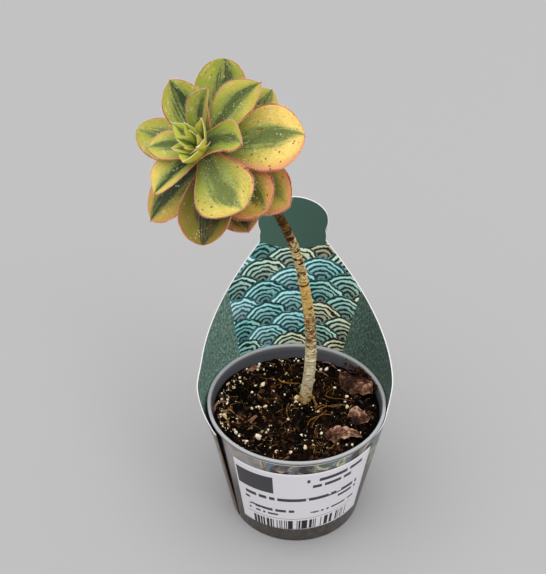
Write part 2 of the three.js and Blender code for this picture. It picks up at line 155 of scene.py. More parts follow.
# %% [markdown]
# The plant stands on a plain grey sweep in a light tent, as in a product photograph. The sweep is the
# same grey everywhere and darkens softly all round the pot. Most of the light is the tent itself, the
# even world. A sun with a very wide disc adds light from above, which deepens the shade between the
# leaves, and one softbox far off to the front right adds the highlights. The floor is stage, not
# part of the object.

# %% Stage and light
FLOOR_GREY = "#b0afaf"
FLOOR_SIZE = 6.0

# Painted paper is matt, with hardly any sheen
material, add = new_material("painted_backdrop_paper")
close_material(add, {"Base Color": colour(FLOOR_GREY), "Roughness": 0.9, "Specular IOR Level": 0.1})
floor_mesh = bmesh.new()
bmesh.ops.create_grid(floor_mesh, x_segments=1, y_segments=1, size=FLOOR_SIZE)
floor_data = bpy.data.meshes.new("studio_floor")
floor_mesh.to_mesh(floor_data)
floor_mesh.free()
floor_data.materials.append(material)
floor = bpy.data.objects.new("studio_floor", floor_data)
bpy.context.scene.collection.objects.link(floor)

softbox_light = bpy.data.lights.new("softbox_right", "AREA")
softbox_light.shape = "SQUARE"
softbox_light.size = 1.2
softbox_light.energy = 13.0
softbox = bpy.data.objects.new("softbox_right", softbox_light)
softbox.location = (2.2, -2.2, 2.2)
looks_at = Vector((0, 0, 0.15))
softbox.rotation_euler = (looks_at - softbox.location).to_track_quat("-Z", "Y").to_euler()
bpy.context.scene.collection.objects.link(softbox)

sky_light = bpy.data.lights.new("overhead_diffuser", "SUN")
sky_light.energy = 2.0
sky_light.angle = math.radians(95)
overhead = bpy.data.objects.new("overhead_diffuser", sky_light)
overhead.rotation_euler = (math.radians(12), math.radians(-5), 0)
bpy.context.scene.collection.objects.link(overhead)

world = bpy.data.worlds.new("soft_surroundings")
world.use_nodes = True
world.node_tree.nodes["Background"].inputs["Color"].default_value = colour("#fdfcff")
world.node_tree.nodes["Background"].inputs["Strength"].default_value = 0.61
bpy.context.scene.world = world
bpy.context.scene.view_settings.view_transform = "Standard"
bpy.context.scene.view_settings.look = "None"
print("floor:", FLOOR_GREY, "lights:", softbox.name, "and", overhead.name)

# %% [markdown]
# A finished piece is one object at the origin with its place in its mesh, as the model's own nodes
# are. It rides on the root body and may stand for nodes.

# %% Finish a piece


def finish_piece(name, mesh, materials, slot, *nodes, smooth=True):
    """Turns a bmesh in millimetres into a piece of the part that may stand for model nodes."""
    bmesh.ops.scale(mesh, vec=(MM, MM, MM), verts=mesh.verts)
    data = bpy.data.meshes.new(name)
    mesh.to_mesh(data)
    mesh.free()
    if smooth:
        data.shade_smooth()
    for material in materials:
        data.materials.append(material)
    piece = bpy.data.objects.new(name, data)
    bpy.context.scene.collection.objects.link(piece)
    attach(piece, "root")
    if nodes:
        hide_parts(*nodes)
    print(name, "faces:", len(data.polygons))
    return piece


# %% [markdown]
# Every rounded closed form here starts as a UV sphere: its rings become the stations along a blade
# or a stem and its columns go round the section. The two poles close the ends, so no hole is left.

# %% A closed skin on a sphere's rings


def closed_skin(mesh, columns, rings, place_of):
    """Adds a sphere and moves each vertex to place_of(turn 0..1, ring 0..rings)."""
    made = bmesh.ops.create_uvsphere(mesh, u_segments=columns, v_segments=rings, radius=1)
    for vert in made["verts"]:
        ring = round(math.acos(max(-1.0, min(1.0, -vert.co.z))) / math.pi * rings)
        turn = math.atan2(vert.co.y, vert.co.x) / (2 * math.pi) % 1.0
        vert.co = place_of(vert, turn, ring)
    faces = list({face for vert in made["verts"] for face in vert.link_faces})
    bmesh.ops.recalc_face_normals(mesh, faces=faces)
    return made["verts"]


# %% [markdown]
# An aeonium leaf is a fleshy spoon. It is narrow at the foot, widest past the middle and ends in a
# small point. The rosette faces up and forwards to the left, so the leaves are placed by their turn
# about its axis, their seat on the crown and their slope. These are the same terms and values as in
# the model's source, so each blade stays where its solid is.

# %% The rosette's leaves
CROWN_FOOT = Vector((-40.0, -23.5, 248.5))
ROSETTE_AXIS = Vector((-0.38, -0.64, 0.67)).normalized()
SIDEWAYS = Vector((0, 0, 1)).cross(ROSETTE_AXIS).normalized()
UPWARDS = ROSETTE_AXIS.cross(SIDEWAYS)
LEAF_THICKNESS = 2.3
WIDEST_SHARE = 0.64


def leaf_shape(around, seat, lift, length, width, base, curl, fold, point, sweep=0.0, roll=0.0):
    """The size and place of one leaf, in the terms of the model's source."""
    return dict(around=around, seat=seat, lift=lift, length=length, width=width, base=base,
                curl=curl, fold=fold, point=point, sweep=sweep, roll=roll, widest=WIDEST_SHARE)


ROSETTE_LEAVES = [
    leaf_shape(345, -1.5, -10, 42, 25, 7, 0.05, 6, 0.5, sweep=-0.04),
    leaf_shape(311, 1, -16, 38, 24, 7, 0.04, 6, 0.5),
    leaf_shape(71, 2, -5, 42, 24, 7, 0.05, 6, 0.2),
    leaf_shape(333, 3.5, -3, 39, 27, 7, 0.05, 6, 0.3),
    leaf_shape(241, 5, -2, 43, 23, 7, 0.05, 8, 0.3, sweep=0.08),
    leaf_shape(178, 5, 8, 42.5, 21, 7, 0.06, 8, 0.1),
    leaf_shape(286, 7, -2, 43, 28, 7, 0.05, 8, 0.1, sweep=0.02),
    leaf_shape(26, 9, -5, 46.5, 33, 8, 0.05, 8, 0.1, sweep=-0.06),
    leaf_shape(98, 8, 10, 45, 29, 8, 0.06, 8, 0),
    leaf_shape(325, 13, 0, 36, 30, 10, 0.06, 8, 0.3, sweep=0.1),
    leaf_shape(133, 10, 24, 38, 21, 8, 0.06, 12, 0.5),
    leaf_shape(60, 12, 13, 41, 21, 9, 0.06, 12, 0.6, sweep=-0.14),
    leaf_shape(245, 13, 14, 31, 21, 10, 0.06, 28, 0.6, sweep=0.12, roll=-12),
    leaf_shape(198, 13.5, 20, 27, 14.5, 9, 0.06, 16, 0.6, sweep=0.07),
    leaf_shape(16, 15.5, 8, 21.5, 16, 13, 0.08, 14, 1, sweep=-0.27, roll=6),
    leaf_shape(85, 15, 36, 29.5, 16, 9, 0.06, 32, 0.8, sweep=-0.16, roll=10),
]

YOUNG_WIDEST = 0.42
HEART_LEAVES = [
    leaf_shape(278, 14, 57, 19.5, 17, 13, 0.1, 40, 1.2, roll=-15),
    leaf_shape(156, 15, 42, 19, 12, 9, 0.08, 34, 1.2),
    leaf_shape(72, 15.5, 56, 19, 11, 9, 0.08, 38, 1.3, roll=10),
    leaf_shape(207, 16, 36, 14.5, 10, 7, 0.08, 36, 1.2),
    leaf_shape(335, 15, 68, 16, 13, 11, 0.1, 34, 1.2),
    leaf_shape(215, 16.5, 50, 15.5, 8, 6, 0.08, 36, 1.3),
    leaf_shape(128, 16.5, 58, 16, 8, 6, 0.08, 36, 1.3),
    leaf_shape(20, 16.5, 72, 17, 8, 6, 0.08, 36, 1.3),
    leaf_shape(190, 17, 66, 15.5, 7, 5, 0.08, 36, 1.3),
    leaf_shape(270, 17, 72, 14.5, 7, 5, 0.08, 36, 1.3),
    leaf_shape(100, 17, 76, 14.5, 6, 4, 0.08, 36, 1.3),
]
for leaf in HEART_LEAVES:
    leaf["widest"] = YOUNG_WIDEST
print("leaves:", len(ROSETTE_LEAVES), "and in the heart:", len(HEART_LEAVES))

# %% [markdown]
# A blade is drawn as its foot and three directions of its own, with an outline by its width at each
# share of its length. Bow, valley and ripple are then heights over that flat outline.

# %% Shape of a blade


def turned(first, second, angle):
    """The direction between two crossing ones, turned from the first towards the second."""
    return first * math.cos(angle) + second * math.sin(angle)


def blade_axes(leaf):
    """Foot of the blade, and its directions along, across and up out of its face."""
    lift, roll = math.radians(leaf["lift"]), math.radians(leaf["roll"])
    outwards = turned(SIDEWAYS, UPWARDS, math.radians(leaf["around"]))
    along = turned(outwards, ROSETTE_AXIS, lift)
    face = turned(ROSETTE_AXIS, outwards, -lift)
    side = along.cross(face)
    foot = CROWN_FOOT + ROSETTE_AXIS * leaf["seat"]
    return foot, along, turned(side, face, roll), turned(face, side, -roll)


# The tip's small point starts at this share of the length, and a blunt outline closes at that one
TIP_START = 0.86
OUTLINE_END = 0.985
# A leaf with a point of this value or more has a full tip
FULL_POINT = 0.3


def blade_half_width(leaf, share):
    """Half the blade's width at a share of its length, with a small point at the tip."""
    widest = leaf["widest"]
    if share < widest:
        rise = math.sin(0.5 * math.pi * share / widest)
        return 0.5 * mix(leaf["base"], leaf["width"], rise ** 1.5)
    past = min(1.0, (share - widest) / (OUTLINE_END - widest))
    body = 0.5 * leaf["width"] * max(0.0, 1 - past * past) ** (0.5 + 0.5 * leaf["point"])
    sharp = min(1.0, leaf["point"] / FULL_POINT)
    cusp = mix(0.0, 0.1, sharp) * leaf["width"] * max(0.0, (1 - share) / (1 - TIP_START)) ** 1.5
    return max(body, cusp) if share > TIP_START else body


def blade_place(leaf, axes, share, turn, out=0.0):
    """A point of the blade's skin; out moves it off the margin, for the hairs."""
    foot, along, across, up = axes
    angle = 2 * math.pi * turn
    half = blade_half_width(leaf, share) + out
    reach = half * math.cos(angle)
    length = leaf["length"]
    valley = math.sqrt(reach * reach + 1) - 1
    bow = -4 * leaf["curl"] * length * share * (1 - share)
    swept = 4 * leaf["sweep"] * length * share * (1 - share)
    sine = math.sin(angle)
    # The blade thins towards its tip and its margins, and a narrow leaf is thinner
    body = 0.5 * LEAF_THICKNESS * (1 - 0.45 * share) * min(1, leaf["width"] / 14)
    body *= 0.5 + 0.5 * sine * sine
    skin = body * math.copysign(abs(sine) ** 0.55, sine)
    fold = math.radians(leaf["fold"])
    ripple = 0.35 * roughness_of((reach, share * length, leaf["around"]), 9.0) * abs(math.cos(angle))
    place = foot + along * (share * length) + across * (reach * math.cos(fold) + swept)
    return place + up * (bow + valley * math.sin(fold) + skin + ripple)


# %% [markdown]
# What the eye knows this plant by is its paint: a dark green streaky stripe down the middle, yellow
# margins and a rose-red rim. The stripe wanders from leaf to leaf, so each leaf states where its
# stripe lies, how wide it is, and how yellow, flushed and old the leaf is. These go to the mesh as
# attributes, and one shader reads them for all leaves.

# %% How each leaf is coloured


def leaf_look(centre, width, dark, warmth, flush, age, spots, side=0.0, rim=1.0):
    """Stripe centre and half width in shares of the half blade, then colour amounts from 0 to 1."""
    return dict(centre=centre, width=width, dark=dark, warmth=warmth, flush=flush, age=age,
                spots=spots, side=side, rim=rim)


# Centre is positive to the right of a blade that points up. Side 1 or -1 puts the flush on that
# side only, and a rim of 1.4 is that much wider than a plain one.
ROSETTE_LOOKS = [
    leaf_look(-0.1, 0.5, 0.3, 0.55, 0.75, 0.4, 0.9, rim=1.4),
    leaf_look(0.0, 0.85, 1.0, 0.25, 0.4, 1.0, 0.6, rim=1.4),
    leaf_look(0.1, 0.8, 0.9, 0.45, 0.0, 0.1, 0.1, rim=0.7),
    leaf_look(-0.15, 0.5, 0.6, 0.7, 0.7, 0.6, 1.0, rim=1.2),
    leaf_look(0.1, 0.55, 1.0, 0.6, 0.15, 0.6, 0.6, rim=0.9),
    leaf_look(0.1, 0.5, 0.6, 0.3, 0.05, 0.15, 0.7, rim=0.8),
    leaf_look(-0.15, 0.68, 1.0, 0.1, 0.1, 1.0, 0.6, rim=0.9),
    leaf_look(-0.1, 0.4, 0.6, 1.0, 0.8, 0.0, 1.0, side=1, rim=1.1),
    leaf_look(0.15, 0.74, 0.9, 0.12, 0.05, 0.2, 0.9, rim=0.7),
    leaf_look(0.0, 0.52, 0.5, 0.6, 0.25, 0.0, 1.0, side=-1, rim=1.0),
    leaf_look(0.05, 0.7, 1.0, 0.25, 0.0, 0.15, 0.4, rim=0.8),
    leaf_look(0.0, 0.5, 0.75, 0.45, 0.0, 0.0, 0.5, rim=0.8),
    leaf_look(0.0, 0.42, 1.0, 0.65, 0.1, 0.0, 0.4, rim=1.0),
    leaf_look(0.1, 0.46, 0.7, 0.4, 0.0, 0.0, 0.3, rim=0.9),
    leaf_look(0.05, 0.5, 0.8, 0.3, 0.0, 0.0, 0.2, rim=1.0),
    leaf_look(0.1, 0.55, 0.9, 0.2, 0.0, 0.1, 0.1, rim=0.7),
]
HEART_LOOK = leaf_look(0.0, 0.36, 0.5, 0.2, 0.0, 0.0, 0.0, rim=0.3)

# %% [markdown]
# Every vertex of a blade carries what its skin needs to know: its place on the flat blade, the leaf's
# tones, and its distances from the stripe's middle and from the margin.

# %% Mesh of a blade
BLADE_VECTORS = ("streak", "tone")
BLADE_VALUES = ("stripe", "inset", "upper", "along", "dark", "spots")
NOISE_LEVEL = 7.3


def blade_layers(mesh):
    """The attributes that the leaf skin reads, made at a mesh's first blade."""
    found = []
    for layers, names in (
        (mesh.verts.layers.float_vector, BLADE_VECTORS), (mesh.verts.layers.float, BLADE_VALUES),
    ):
        for name in names:
            if layers.get(name) is None:
                layers.new(name)
        found += [layers[name] for name in names]
    return found


def add_blade(mesh, leaf, look, columns, rings, seed):
    """Adds one blade to a bmesh, with its own values in the attributes."""
    streak, tone, stripe, inset, upper, along, dark, spots = blade_layers(mesh)
    axes = blade_axes(leaf)
    # A blunt blade ends where its outline closes, a pointed one a little later
    full_share = mix(OUTLINE_END, 1.0, min(1.0, leaf["point"] / FULL_POINT))

    def place_of(vert, turn, ring):
        share = full_share * math.sin(0.5 * math.pi * ring / rings)
        cosine = math.cos(2 * math.pi * turn)
        half = blade_half_width(leaf, share)
        if ring in (0, rings):
            cosine = 0.0
        # Each blade reads the noise at a level of its own, so no two have the same streaks
        vert[streak] = (cosine * 0.5 * leaf["width"], share * leaf["length"], NOISE_LEVEL * seed)
        one_side = (1 + look["side"] * cosine) / (1 + abs(look["side"]))
        vert[tone] = (look["warmth"], look["flush"] * one_side, look["age"])
        middle = look["centre"] * smooth_step(0.1, 0.6, share)
        fading = 1.2 * smooth_step(0.6, 1.0, share) * (1.25 - look["dark"])
        vert[stripe] = abs(cosine - middle) / (look["width"] * mix(1.2, 0.8, share)) + fading
        vert[inset] = half * (1 - abs(cosine)) / look["rim"] if ring < rings else 0.0
        vert[upper] = math.sin(2 * math.pi * turn)
        vert[along] = share
        vert[dark] = look["dark"]
        vert[spots] = look["spots"]
        if ring == 0:
            # The first pole closes the foot, about halfway through its thickness
            return blade_place(leaf, axes, 0.0, 0.25) - axes[3] * 1.1
        return blade_place(leaf, axes, share, turn)

    return closed_skin(mesh, columns, rings, place_of)


# %% [markdown]
# Leaf skin is a waxy living surface over wet flesh: a satin gloss, a little light that sinks in and
# spreads, and veins that run the blade's length. The graph mixes the yellow margin with the green
# stripe by the stripe attribute, frayed with noise that is stretched along the leaf, then lays the
# flush, the rosy rim, brown specks and dried water marks over it.

# %% Noises of the leaf skin


def leaf_noises(add, streak):
    """Veins, broad streaks, soft clouds and a fine mottle, on the blade's own place."""
    # Veins lie under a millimetre apart and run far along the blade
    vein_place = add("Mapping", inputs={"Vector": streak, "Scale": (1.1, 0.08, 1)})
    veins = add("TexNoise", inputs={
        "Vector": vein_place, "Scale": 1.0, "Detail": 5.0, "Roughness": 0.6})
    broad_place = add("Mapping", inputs={"Vector": streak, "Scale": (0.3, 0.05, 1)})
    broad = add("TexNoise", inputs={"Vector": broad_place, "Scale": 1.0, "Detail": 3.0})
    cloud = add("TexNoise", inputs={"Vector": streak, "Scale": 0.16, "Detail": 3.0})
    # The mottle of the skin's cells, from a millimetre down
    mottle = add("TexNoise", inputs={"Vector": streak, "Scale": 0.8, "Detail": 6.0, "Roughness": 0.8})
    return veins, broad, cloud, mottle


# %% [markdown]
# The stripe is where a leaf has all its green. Its distance from the stripe's middle comes with the
# blade, and noise stretched along the leaf frays it: a little for the soft outer edge, and a lot
# for the dark streaks inside.

# %% Margin and stripe


def striped_flesh(add, read, noises, warmth, margin_green, foot_green, foot_shade, foot_end):
    """Lime to yellow margins, and the dark streaky stripe down the middle."""
    veins, broad, cloud, mottle = noises
    frayed = streaked = read["stripe"]
    for values, soft, sharp in ((broad, 1.1, 1.6), (veins, 0.7, 2.0), (mottle, 0.4, 1.4)):
        centred = add("Math", SUBTRACT, {0: values, 1: 0.5})
        frayed = add("Math", MULTIPLY_ADD, {0: centred, 1: soft, 2: frayed})
        streaked = add("Math", MULTIPLY_ADD, {0: centred, 1: sharp, 2: streaked})
    # The margin fades into the green stripe over a few millimetres, and dark streaks run inside it
    stripe_mask = add("MapRange", SMOOTHSTEP, {"Value": frayed, "From Min": 1.5, "From Max": 0.55})
    core = add("MapRange", SMOOTHSTEP, {"Value": streaked, "From Min": 1.0, "From Max": 0.2})
    core = add("Math", MULTIPLY, {0: core, 1: read["dark"]})

    yellowness = add("Math", MULTIPLY_ADD, {0: cloud, 1: 0.7, 2: warmth})
    yellowness = add("MapRange", inputs={"Value": yellowness, "From Min": 0.35, "From Max": 1.35})
    margin = add("Mix", RGBA, {0: yellowness, 6: colour(margin_green), 7: colour("#fdd974")})
    foot = add("MapRange", SMOOTHSTEP, {
        "Value": read["along"], "From Min": 0.85, "From Max": 0.15, "To Max": 0.9})
    margin = add("Mix", RGBA, {0: foot, 6: margin, 7: colour(foot_green)})
    stripe = add("Mix", RGBA, {0: core, 6: colour("#95a252"), 7: colour("#35491f")})
    flesh = add("Mix", RGBA, {0: stripe_mask, 6: margin, 7: stripe})
    grain = add("MapRange", inputs={
        "Value": mottle, "From Min": 0.3, "From Max": 0.7, "To Min": 0.8, "To Max": 1.2})
    flesh = add("VectorMath", SCALE, {0: flesh, "Scale": grain})
    # Painted shade where the blade leaves the crown
    deep = add("MapRange", SMOOTHSTEP, {
        "Value": read["along"], "From Max": foot_end, "To Min": foot_shade})
    return add("VectorMath", SCALE, {0: flesh, "Scale": deep})


# %% [markdown]
# Age and sun tint a leaf from its margin inwards. Old leaves turn ochre, the flush is a peach band a
# few millimetres wide, and the rim itself is a thin rosy line.

# %% Age, flush and rim


def tinted_margin(add, skin, read, noises, tones, rim_pale, rim_dark):
    """Ochre age, a peach flush beside the margin, and the rosy rim."""
    cloud, mottle = noises[2:]
    flush, age = tones[1], tones[2]
    inset = read["inset"]
    aged = add("Mix", {"data_type": "RGBA", "blend_type": "MULTIPLY"}, {
        0: age, 6: skin, 7: colour("#c8a66a")})
    near_rim = add("MapRange", SMOOTHSTEP, {"Value": inset, "From Min": 5.5, "From Max": 0.3})
    flushed = add("Math", MULTIPLY, {0: near_rim, 1: flush})
    skin = add("Mix", RGBA, {0: flushed, 6: aged, 7: colour("#e5926c")})
    # The rim is about half a millimetre wide, times the leaf's own measure
    rim_tint = add("MapRange", inputs={"Value": cloud, "From Min": 0.4, "From Max": 0.6})
    rim_wave = add("Math", MULTIPLY_ADD, {0: mottle, 1: -1.0, 2: inset})
    rim = add("MapRange", SMOOTHSTEP, {"Value": rim_wave, "From Min": 0.42, "From Max": -0.05})
    rim_colour = add("Mix", RGBA, {0: rim_tint, 6: colour(rim_pale), 7: colour(rim_dark)})
    return add("Mix", RGBA, {0: rim, 6: skin, 7: rim_colour})


# %% [markdown]
# Cork specks and dried drops of hard water give the leaf its scale. Both sit in the cells of a
# Voronoi net. Each cell draws a size of its own, and most draw none or nearly none.

# %% Specks and water marks


def with_specks(add, skin, streak, mottle, spots):
    """Brown cork specks up to 1.2 mm wide, most far smaller, in a net of 1.3 mm cells."""
    speck = add("TexVoronoi", {"feature": "F1"}, {"Vector": streak, "Scale": 0.78})
    draw = add("SeparateColor", inputs={0: speck.outputs["Color"]})
    size = add("MapRange", inputs={"Value": draw.outputs[0], "From Min": 0.35})
    size = add("Math", {"operation": "POWER"}, {0: size, 1: 3.0})
    size = add("Math", MULTIPLY, {0: size, 1: spots})
    size = add("Math", MULTIPLY, {0: size, 1: 0.5})
    away = speck.outputs["Distance"]
    edge = add("Math", MULTIPLY_ADD, {0: mottle, 1: 0.08, 2: away})
    mask = add("Math", SUBTRACT, {0: size, 1: edge})
    mask = add("MapRange", inputs={"Value": mask, "From Min": -0.03, "From Max": 0.03, "To Max": 0.9})
    return add("Mix", RGBA, {0: mask, 6: skin, 7: colour("#8a4a12")})


def with_water_marks(add, skin, streak, cloud):
    """Dried water marks: pale dots up to 0.8 mm wide, in drifts."""
    dot = add("TexVoronoi", {"feature": "F1"}, {"Vector": streak, "Scale": 1.1})
    draw = add("SeparateColor", inputs={0: dot.outputs["Color"]})
    size = add("MapRange", inputs={"Value": draw.outputs[1], "From Min": 0.48, "To Max": 0.46})
    drift = add("MapRange", inputs={"Value": cloud, "From Min": 0.36, "From Max": 0.58})
    size = add("Math", MULTIPLY, {0: size, 1: drift})
    mask = add("Math", LESS_THAN, {0: dot.outputs["Distance"], 1: size})
    mask = add("Math", MULTIPLY, {0: mask, 1: 0.58})
    return add("Mix", RGBA, {0: mask, 6: skin, 7: colour("#e6ecd0")})


# %% [markdown]
# The whole skin puts these layers together. The wax gives a satin gloss that the mottle breaks up,
# veins stand out a little, and a trace of light sinks into the flesh. Grown leaves and the heart
# share the graph and differ in a few colours and in how deep the painted shade at their feet is.

# %% Leaf skin


def leaf_skin(name, margin_green, foot_green, rim_pale, rim_dark, foot_shade, foot_end):
    """Variegated aeonium leaf: waxy skin over wet flesh, painted from the blade's attributes."""
    material, add = new_material(name)
    read = {layer: add("Attribute", {"attribute_name": layer}) for layer in BLADE_VECTORS + BLADE_VALUES}
    streak, tone = [read[layer].outputs["Vector"] for layer in BLADE_VECTORS]
    read = {layer: read[layer].outputs["Fac"] for layer in BLADE_VALUES}
    tones = add("SeparateXYZ", inputs={0: tone}).outputs
    noises = leaf_noises(add, streak)
    veins, _, cloud, mottle = noises
    skin = striped_flesh(add, read, noises, tones[0], margin_green, foot_green, foot_shade, foot_end)
    skin = tinted_margin(add, skin, read, noises, tones, rim_pale, rim_dark)
    skin = with_specks(add, skin, streak, mottle, read["spots"])
    skin = with_water_marks(add, skin, streak, cloud)
    # The back of the blade is plainer and yellower
    back = add("MapRange", SMOOTHSTEP, {
        "Value": read["upper"], "From Min": -0.05, "From Max": -0.5, "To Max": 0.5})
    skin = add("Mix", RGBA, {0: back, 6: skin, 7: colour("#cfc63a")})
    height = add("Math", MULTIPLY_ADD, {0: mottle, 1: 0.6, 2: veins})
    relief = add("Bump", inputs={"Strength": 0.6, "Distance": 0.0006, "Height": height})
    gloss = add("MapRange", inputs={
        "Value": mottle, "From Min": 0.3, "From Max": 0.7, "To Min": 0.34, "To Max": 0.5})
    close_material(add, {
        "Base Color": skin, "Roughness": gloss, "Normal": relief, "Specular IOR Level": 0.3,
        "Subsurface Weight": 0.05, "Subsurface Radius": (0.9, 0.8, 0.2), "Subsurface Scale": 0.0015,
    })
    return material


LEAF_SKIN = leaf_skin("aeonium_leaf_skin", "#99ae2e", "#7f962a", "#e99a74", "#bf5234", 0.45, 0.5)
HEART_SKIN = leaf_skin("aeonium_heart_skin", "#c2d644", "#c4da48", "#fdebcc", "#f0bc90", 0.1, 0.62)

# %% [markdown]
# The sixteen grown leaves are separate pieces, each in the place of its own solid. The heart's young
# leaves are packed round the growing tip and stay one piece.

# %% Grown leaves
for number, (leaf, look) in enumerate(zip(ROSETTE_LEAVES, ROSETTE_LOOKS), start=1):
    blade = bmesh.new()
    add_blade(blade, leaf, look, columns=64, rings=56, seed=number)
    node = f"leaf_{number:02d}"
    finish_piece(node + "_blade", blade, [LEAF_SKIN], "leaf_green", node)

# %% Heart of the rosette
heart = bmesh.new()
for number, leaf in enumerate(HEART_LEAVES):
    add_blade(heart, leaf, HEART_LOOK, columns=40, rings=40, seed=40 + number)
finish_piece("heart_leaves", heart, [HEART_SKIN], "bud_green", "heart")

# %% [markdown]
# Up close every grown margin carries a comb of soft white hairs, about a millimetre long. They are
# three-sided spikes, thin enough to read as fuzz and light enough to repeat by the thousand.

# %% Margin hairs
HAIR_STEP = 0.85
HAIR_LENGTH = 1.0
HAIR_RADIUS = 0.1
HAIR_ROOT = 0.15
# Hairs stand from this share of the length to the tip
HAIR_START = 0.25
HAIR_END = 0.995
MARGIN_STEPS = 400

# Plant hair is dry and matt, and looks white against any leaf
material, add = new_material("white_plant_hair")
close_material(add, {"Base Color": colour("#fbfaf2"), "Roughness": 0.6})
HAIR_SKIN = material


def add_spike(mesh, root, tip, radius):
    """A three-sided spike from a root to a tip."""
    way = tip - root
    turn = way.to_track_quat("Z", "Y").to_matrix().to_4x4()
    place = Matrix.Translation(root + way * 0.5) @ turn
    bmesh.ops.create_cone(mesh, cap_ends=True, cap_tris=True, segments=3, radius1=radius,
                          radius2=0.0, depth=way.length, matrix=place)


def add_hairs(mesh, leaf, draw):
    """A comb of hairs along both margins of a blade."""
    axes = blade_axes(leaf)
    for turn in (0.0, 0.5):
        walked = 0.0
        last = blade_place(leaf, axes, HAIR_START, turn)
        # Small steps along the margin, with a hair wherever they add up to the distance drawn
        for step in range(1, MARGIN_STEPS):
            share = mix(HAIR_START, HAIR_END, math.sin(0.5 * math.pi * step / MARGIN_STEPS))
            place = blade_place(leaf, axes, share, turn)
            walked += (place - last).length
            last = place
            if walked < HAIR_STEP * draw.uniform(0.7, 1.3):
                continue
            walked = 0.0
            outer = blade_place(leaf, axes, share, turn, out=1.0)
            way = (outer - place).normalized() + axes[1] * draw.uniform(0.0, 0.7)
            way += axes[3] * draw.uniform(-0.35, 0.35)
            way.normalize()
            reach = HAIR_LENGTH * draw.uniform(0.6, 1.15)
            add_spike(mesh, place - way * HAIR_ROOT, place + way * reach, HAIR_RADIUS)


draw = random.Random(11)
hairs = bmesh.new()
for leaf in ROSETTE_LEAVES:
    add_hairs(hairs, leaf, draw)
finish_piece("margin_hairs", hairs, [HAIR_SKIN], "leaf_green")

# %% [markdown]
# The stem is last year's growth: bark in pale cream and tan, darker and greener near the crown, with
# a lens-shaped scar wherever a leaf has dropped. It follows the model's centre line as a smooth
# curve through the same points, and carries its skin in rings that never twist.

# %% Stem centre line
STEM_ROUTE = [Vector(point) for point in (
    (5.2, 11.5, 46), (5.7, 12, 67), (7.9, 12.2, 90), (8.3, 12, 111), (7.2, 11.2, 128),
    (4.9, 10, 145), (-0.2, 5, 174), (-6.6, -2, 196.5), (-13.2, -8, 212.5), (-26, -15.5, 231.5),
)]
CROWN_LENGTH = 15.0
CROWN_RADIUS = 3.4
CROWN_TAPER = 0.5
STEM_FOOT_RADIUS = 3.5
STEM_TOP_RADIUS = 2.3
STEM_FLARE = 1.3
STEM_RINGS = 560
STEM_COLUMNS = 44
STEM_ROUTE += [CROWN_FOOT + ROSETTE_AXIS * (CROWN_LENGTH * share) for share in (0.0, 0.5, 1.0)]


def bend_place(at, knots, corners):
    """A place on the smooth curve through the two middle corners of four."""

    def share(first, last):
        return (at - knots[first]) / (knots[last] - knots[first])

    first = [corners[i].lerp(corners[i + 1], share(i, i + 1)) for i in range(3)]
    second = [first[i].lerp(first[i + 1], share(i, i + 2)) for i in range(2)]
    return second[0].lerp(second[1], share(1, 2))


def smooth_route(points, per_span):
    """A centripetal curve through the points, as a dense list of places."""
    points = [points[0] * 2 - points[1], *points, points[-1] * 2 - points[-2]]
    places = []
    for corners in zip(points, points[1:], points[2:], points[3:]):
        knots = [0.0]
        for first, second in zip(corners, corners[1:]):
            knots.append(knots[-1] + math.sqrt((second - first).length))
        for step in range(per_span):
            places.append(bend_place(mix(knots[1], knots[2], step / per_span), knots, corners))
    places.append(points[-2].copy())
    return places


def even_route(places, count):
    """The same route with count + 1 places at even distances, and its length."""
    lengths = [0.0]
    for first, second in zip(places, places[1:]):
        lengths.append(lengths[-1] + (second - first).length)
    even, index = [], 0
    for step in range(count + 1):
        goal = lengths[-1] * step / count
        while index < len(lengths) - 2 and lengths[index + 1] < goal:
            index += 1
        span = max(1e-9, lengths[index + 1] - lengths[index])
        even.append(places[index].lerp(places[index + 1], min(1.0, (goal - lengths[index]) / span)))
    return even, lengths[-1]


def carried_frames(places):
    """Tangent, side and front at each place, carried along the route without a twist."""
    frames = []
    side = Vector((1, 0, 0))
    for index in range(len(places)):
        before, after = places[max(0, index - 1)], places[min(len(places) - 1, index + 1)]
        tangent = (after - before).normalized()
        side = (side - tangent * side.dot(tangent)).normalized()
        frames.append((tangent, side, tangent.cross(side)))
    return frames


STEM_LINE, STEM_LENGTH = even_route(smooth_route(STEM_ROUTE, 60), STEM_RINGS)
STEM_FRAMES = carried_frames(STEM_LINE)
print("stem length in mm:", round(STEM_LENGTH, 1))

# %% [markdown]
# Each fallen leaf left a scar: a shallow lens with a raised lower lip, about a third of the way round
# the stem. They climb in a spiral by the golden angle, close together where the plant grew slowly.

# %% Scars and thickness of the stem
GOLDEN_ANGLE = 2.39996
# Half height and half width in mm of a scar of size 1
SCAR_TALL, SCAR_WIDE = 1.05, 2.9
draw = random.Random(5)
SCARS = []
height, angle = 25.0, 2.2
while height < STEM_LENGTH - CROWN_LENGTH - 10:
    # Growth was slow for some 25 mm of the stem
    slow = smooth_step(66, 74, height) * (1 - smooth_step(90, 98, height))
    SCARS.append((height, angle, draw.uniform(0.75, 1.15)))
    height += mix(4.6, 1.7, slow) * draw.uniform(0.75, 1.25)
    angle += GOLDEN_ANGLE
print("leaf scars:", len(SCARS))


def bare_radius(along):
    """The stem's radius without its scars, flared at the soil and blended into the crown."""
    from_top = STEM_LENGTH - along
    bare = mix(STEM_FOOT_RADIUS, STEM_TOP_RADIUS, smooth_step(0.1, 0.8, along / STEM_LENGTH))
    flare = STEM_FLARE * (1 - smooth_step(12, 32, along))
    crown = CROWN_RADIUS - CROWN_TAPER * smooth_step(0, CROWN_LENGTH, CROWN_LENGTH - from_top)
    return mix(bare + flare, crown, smooth_step(CROWN_LENGTH + 12, CROWN_LENGTH, from_top))


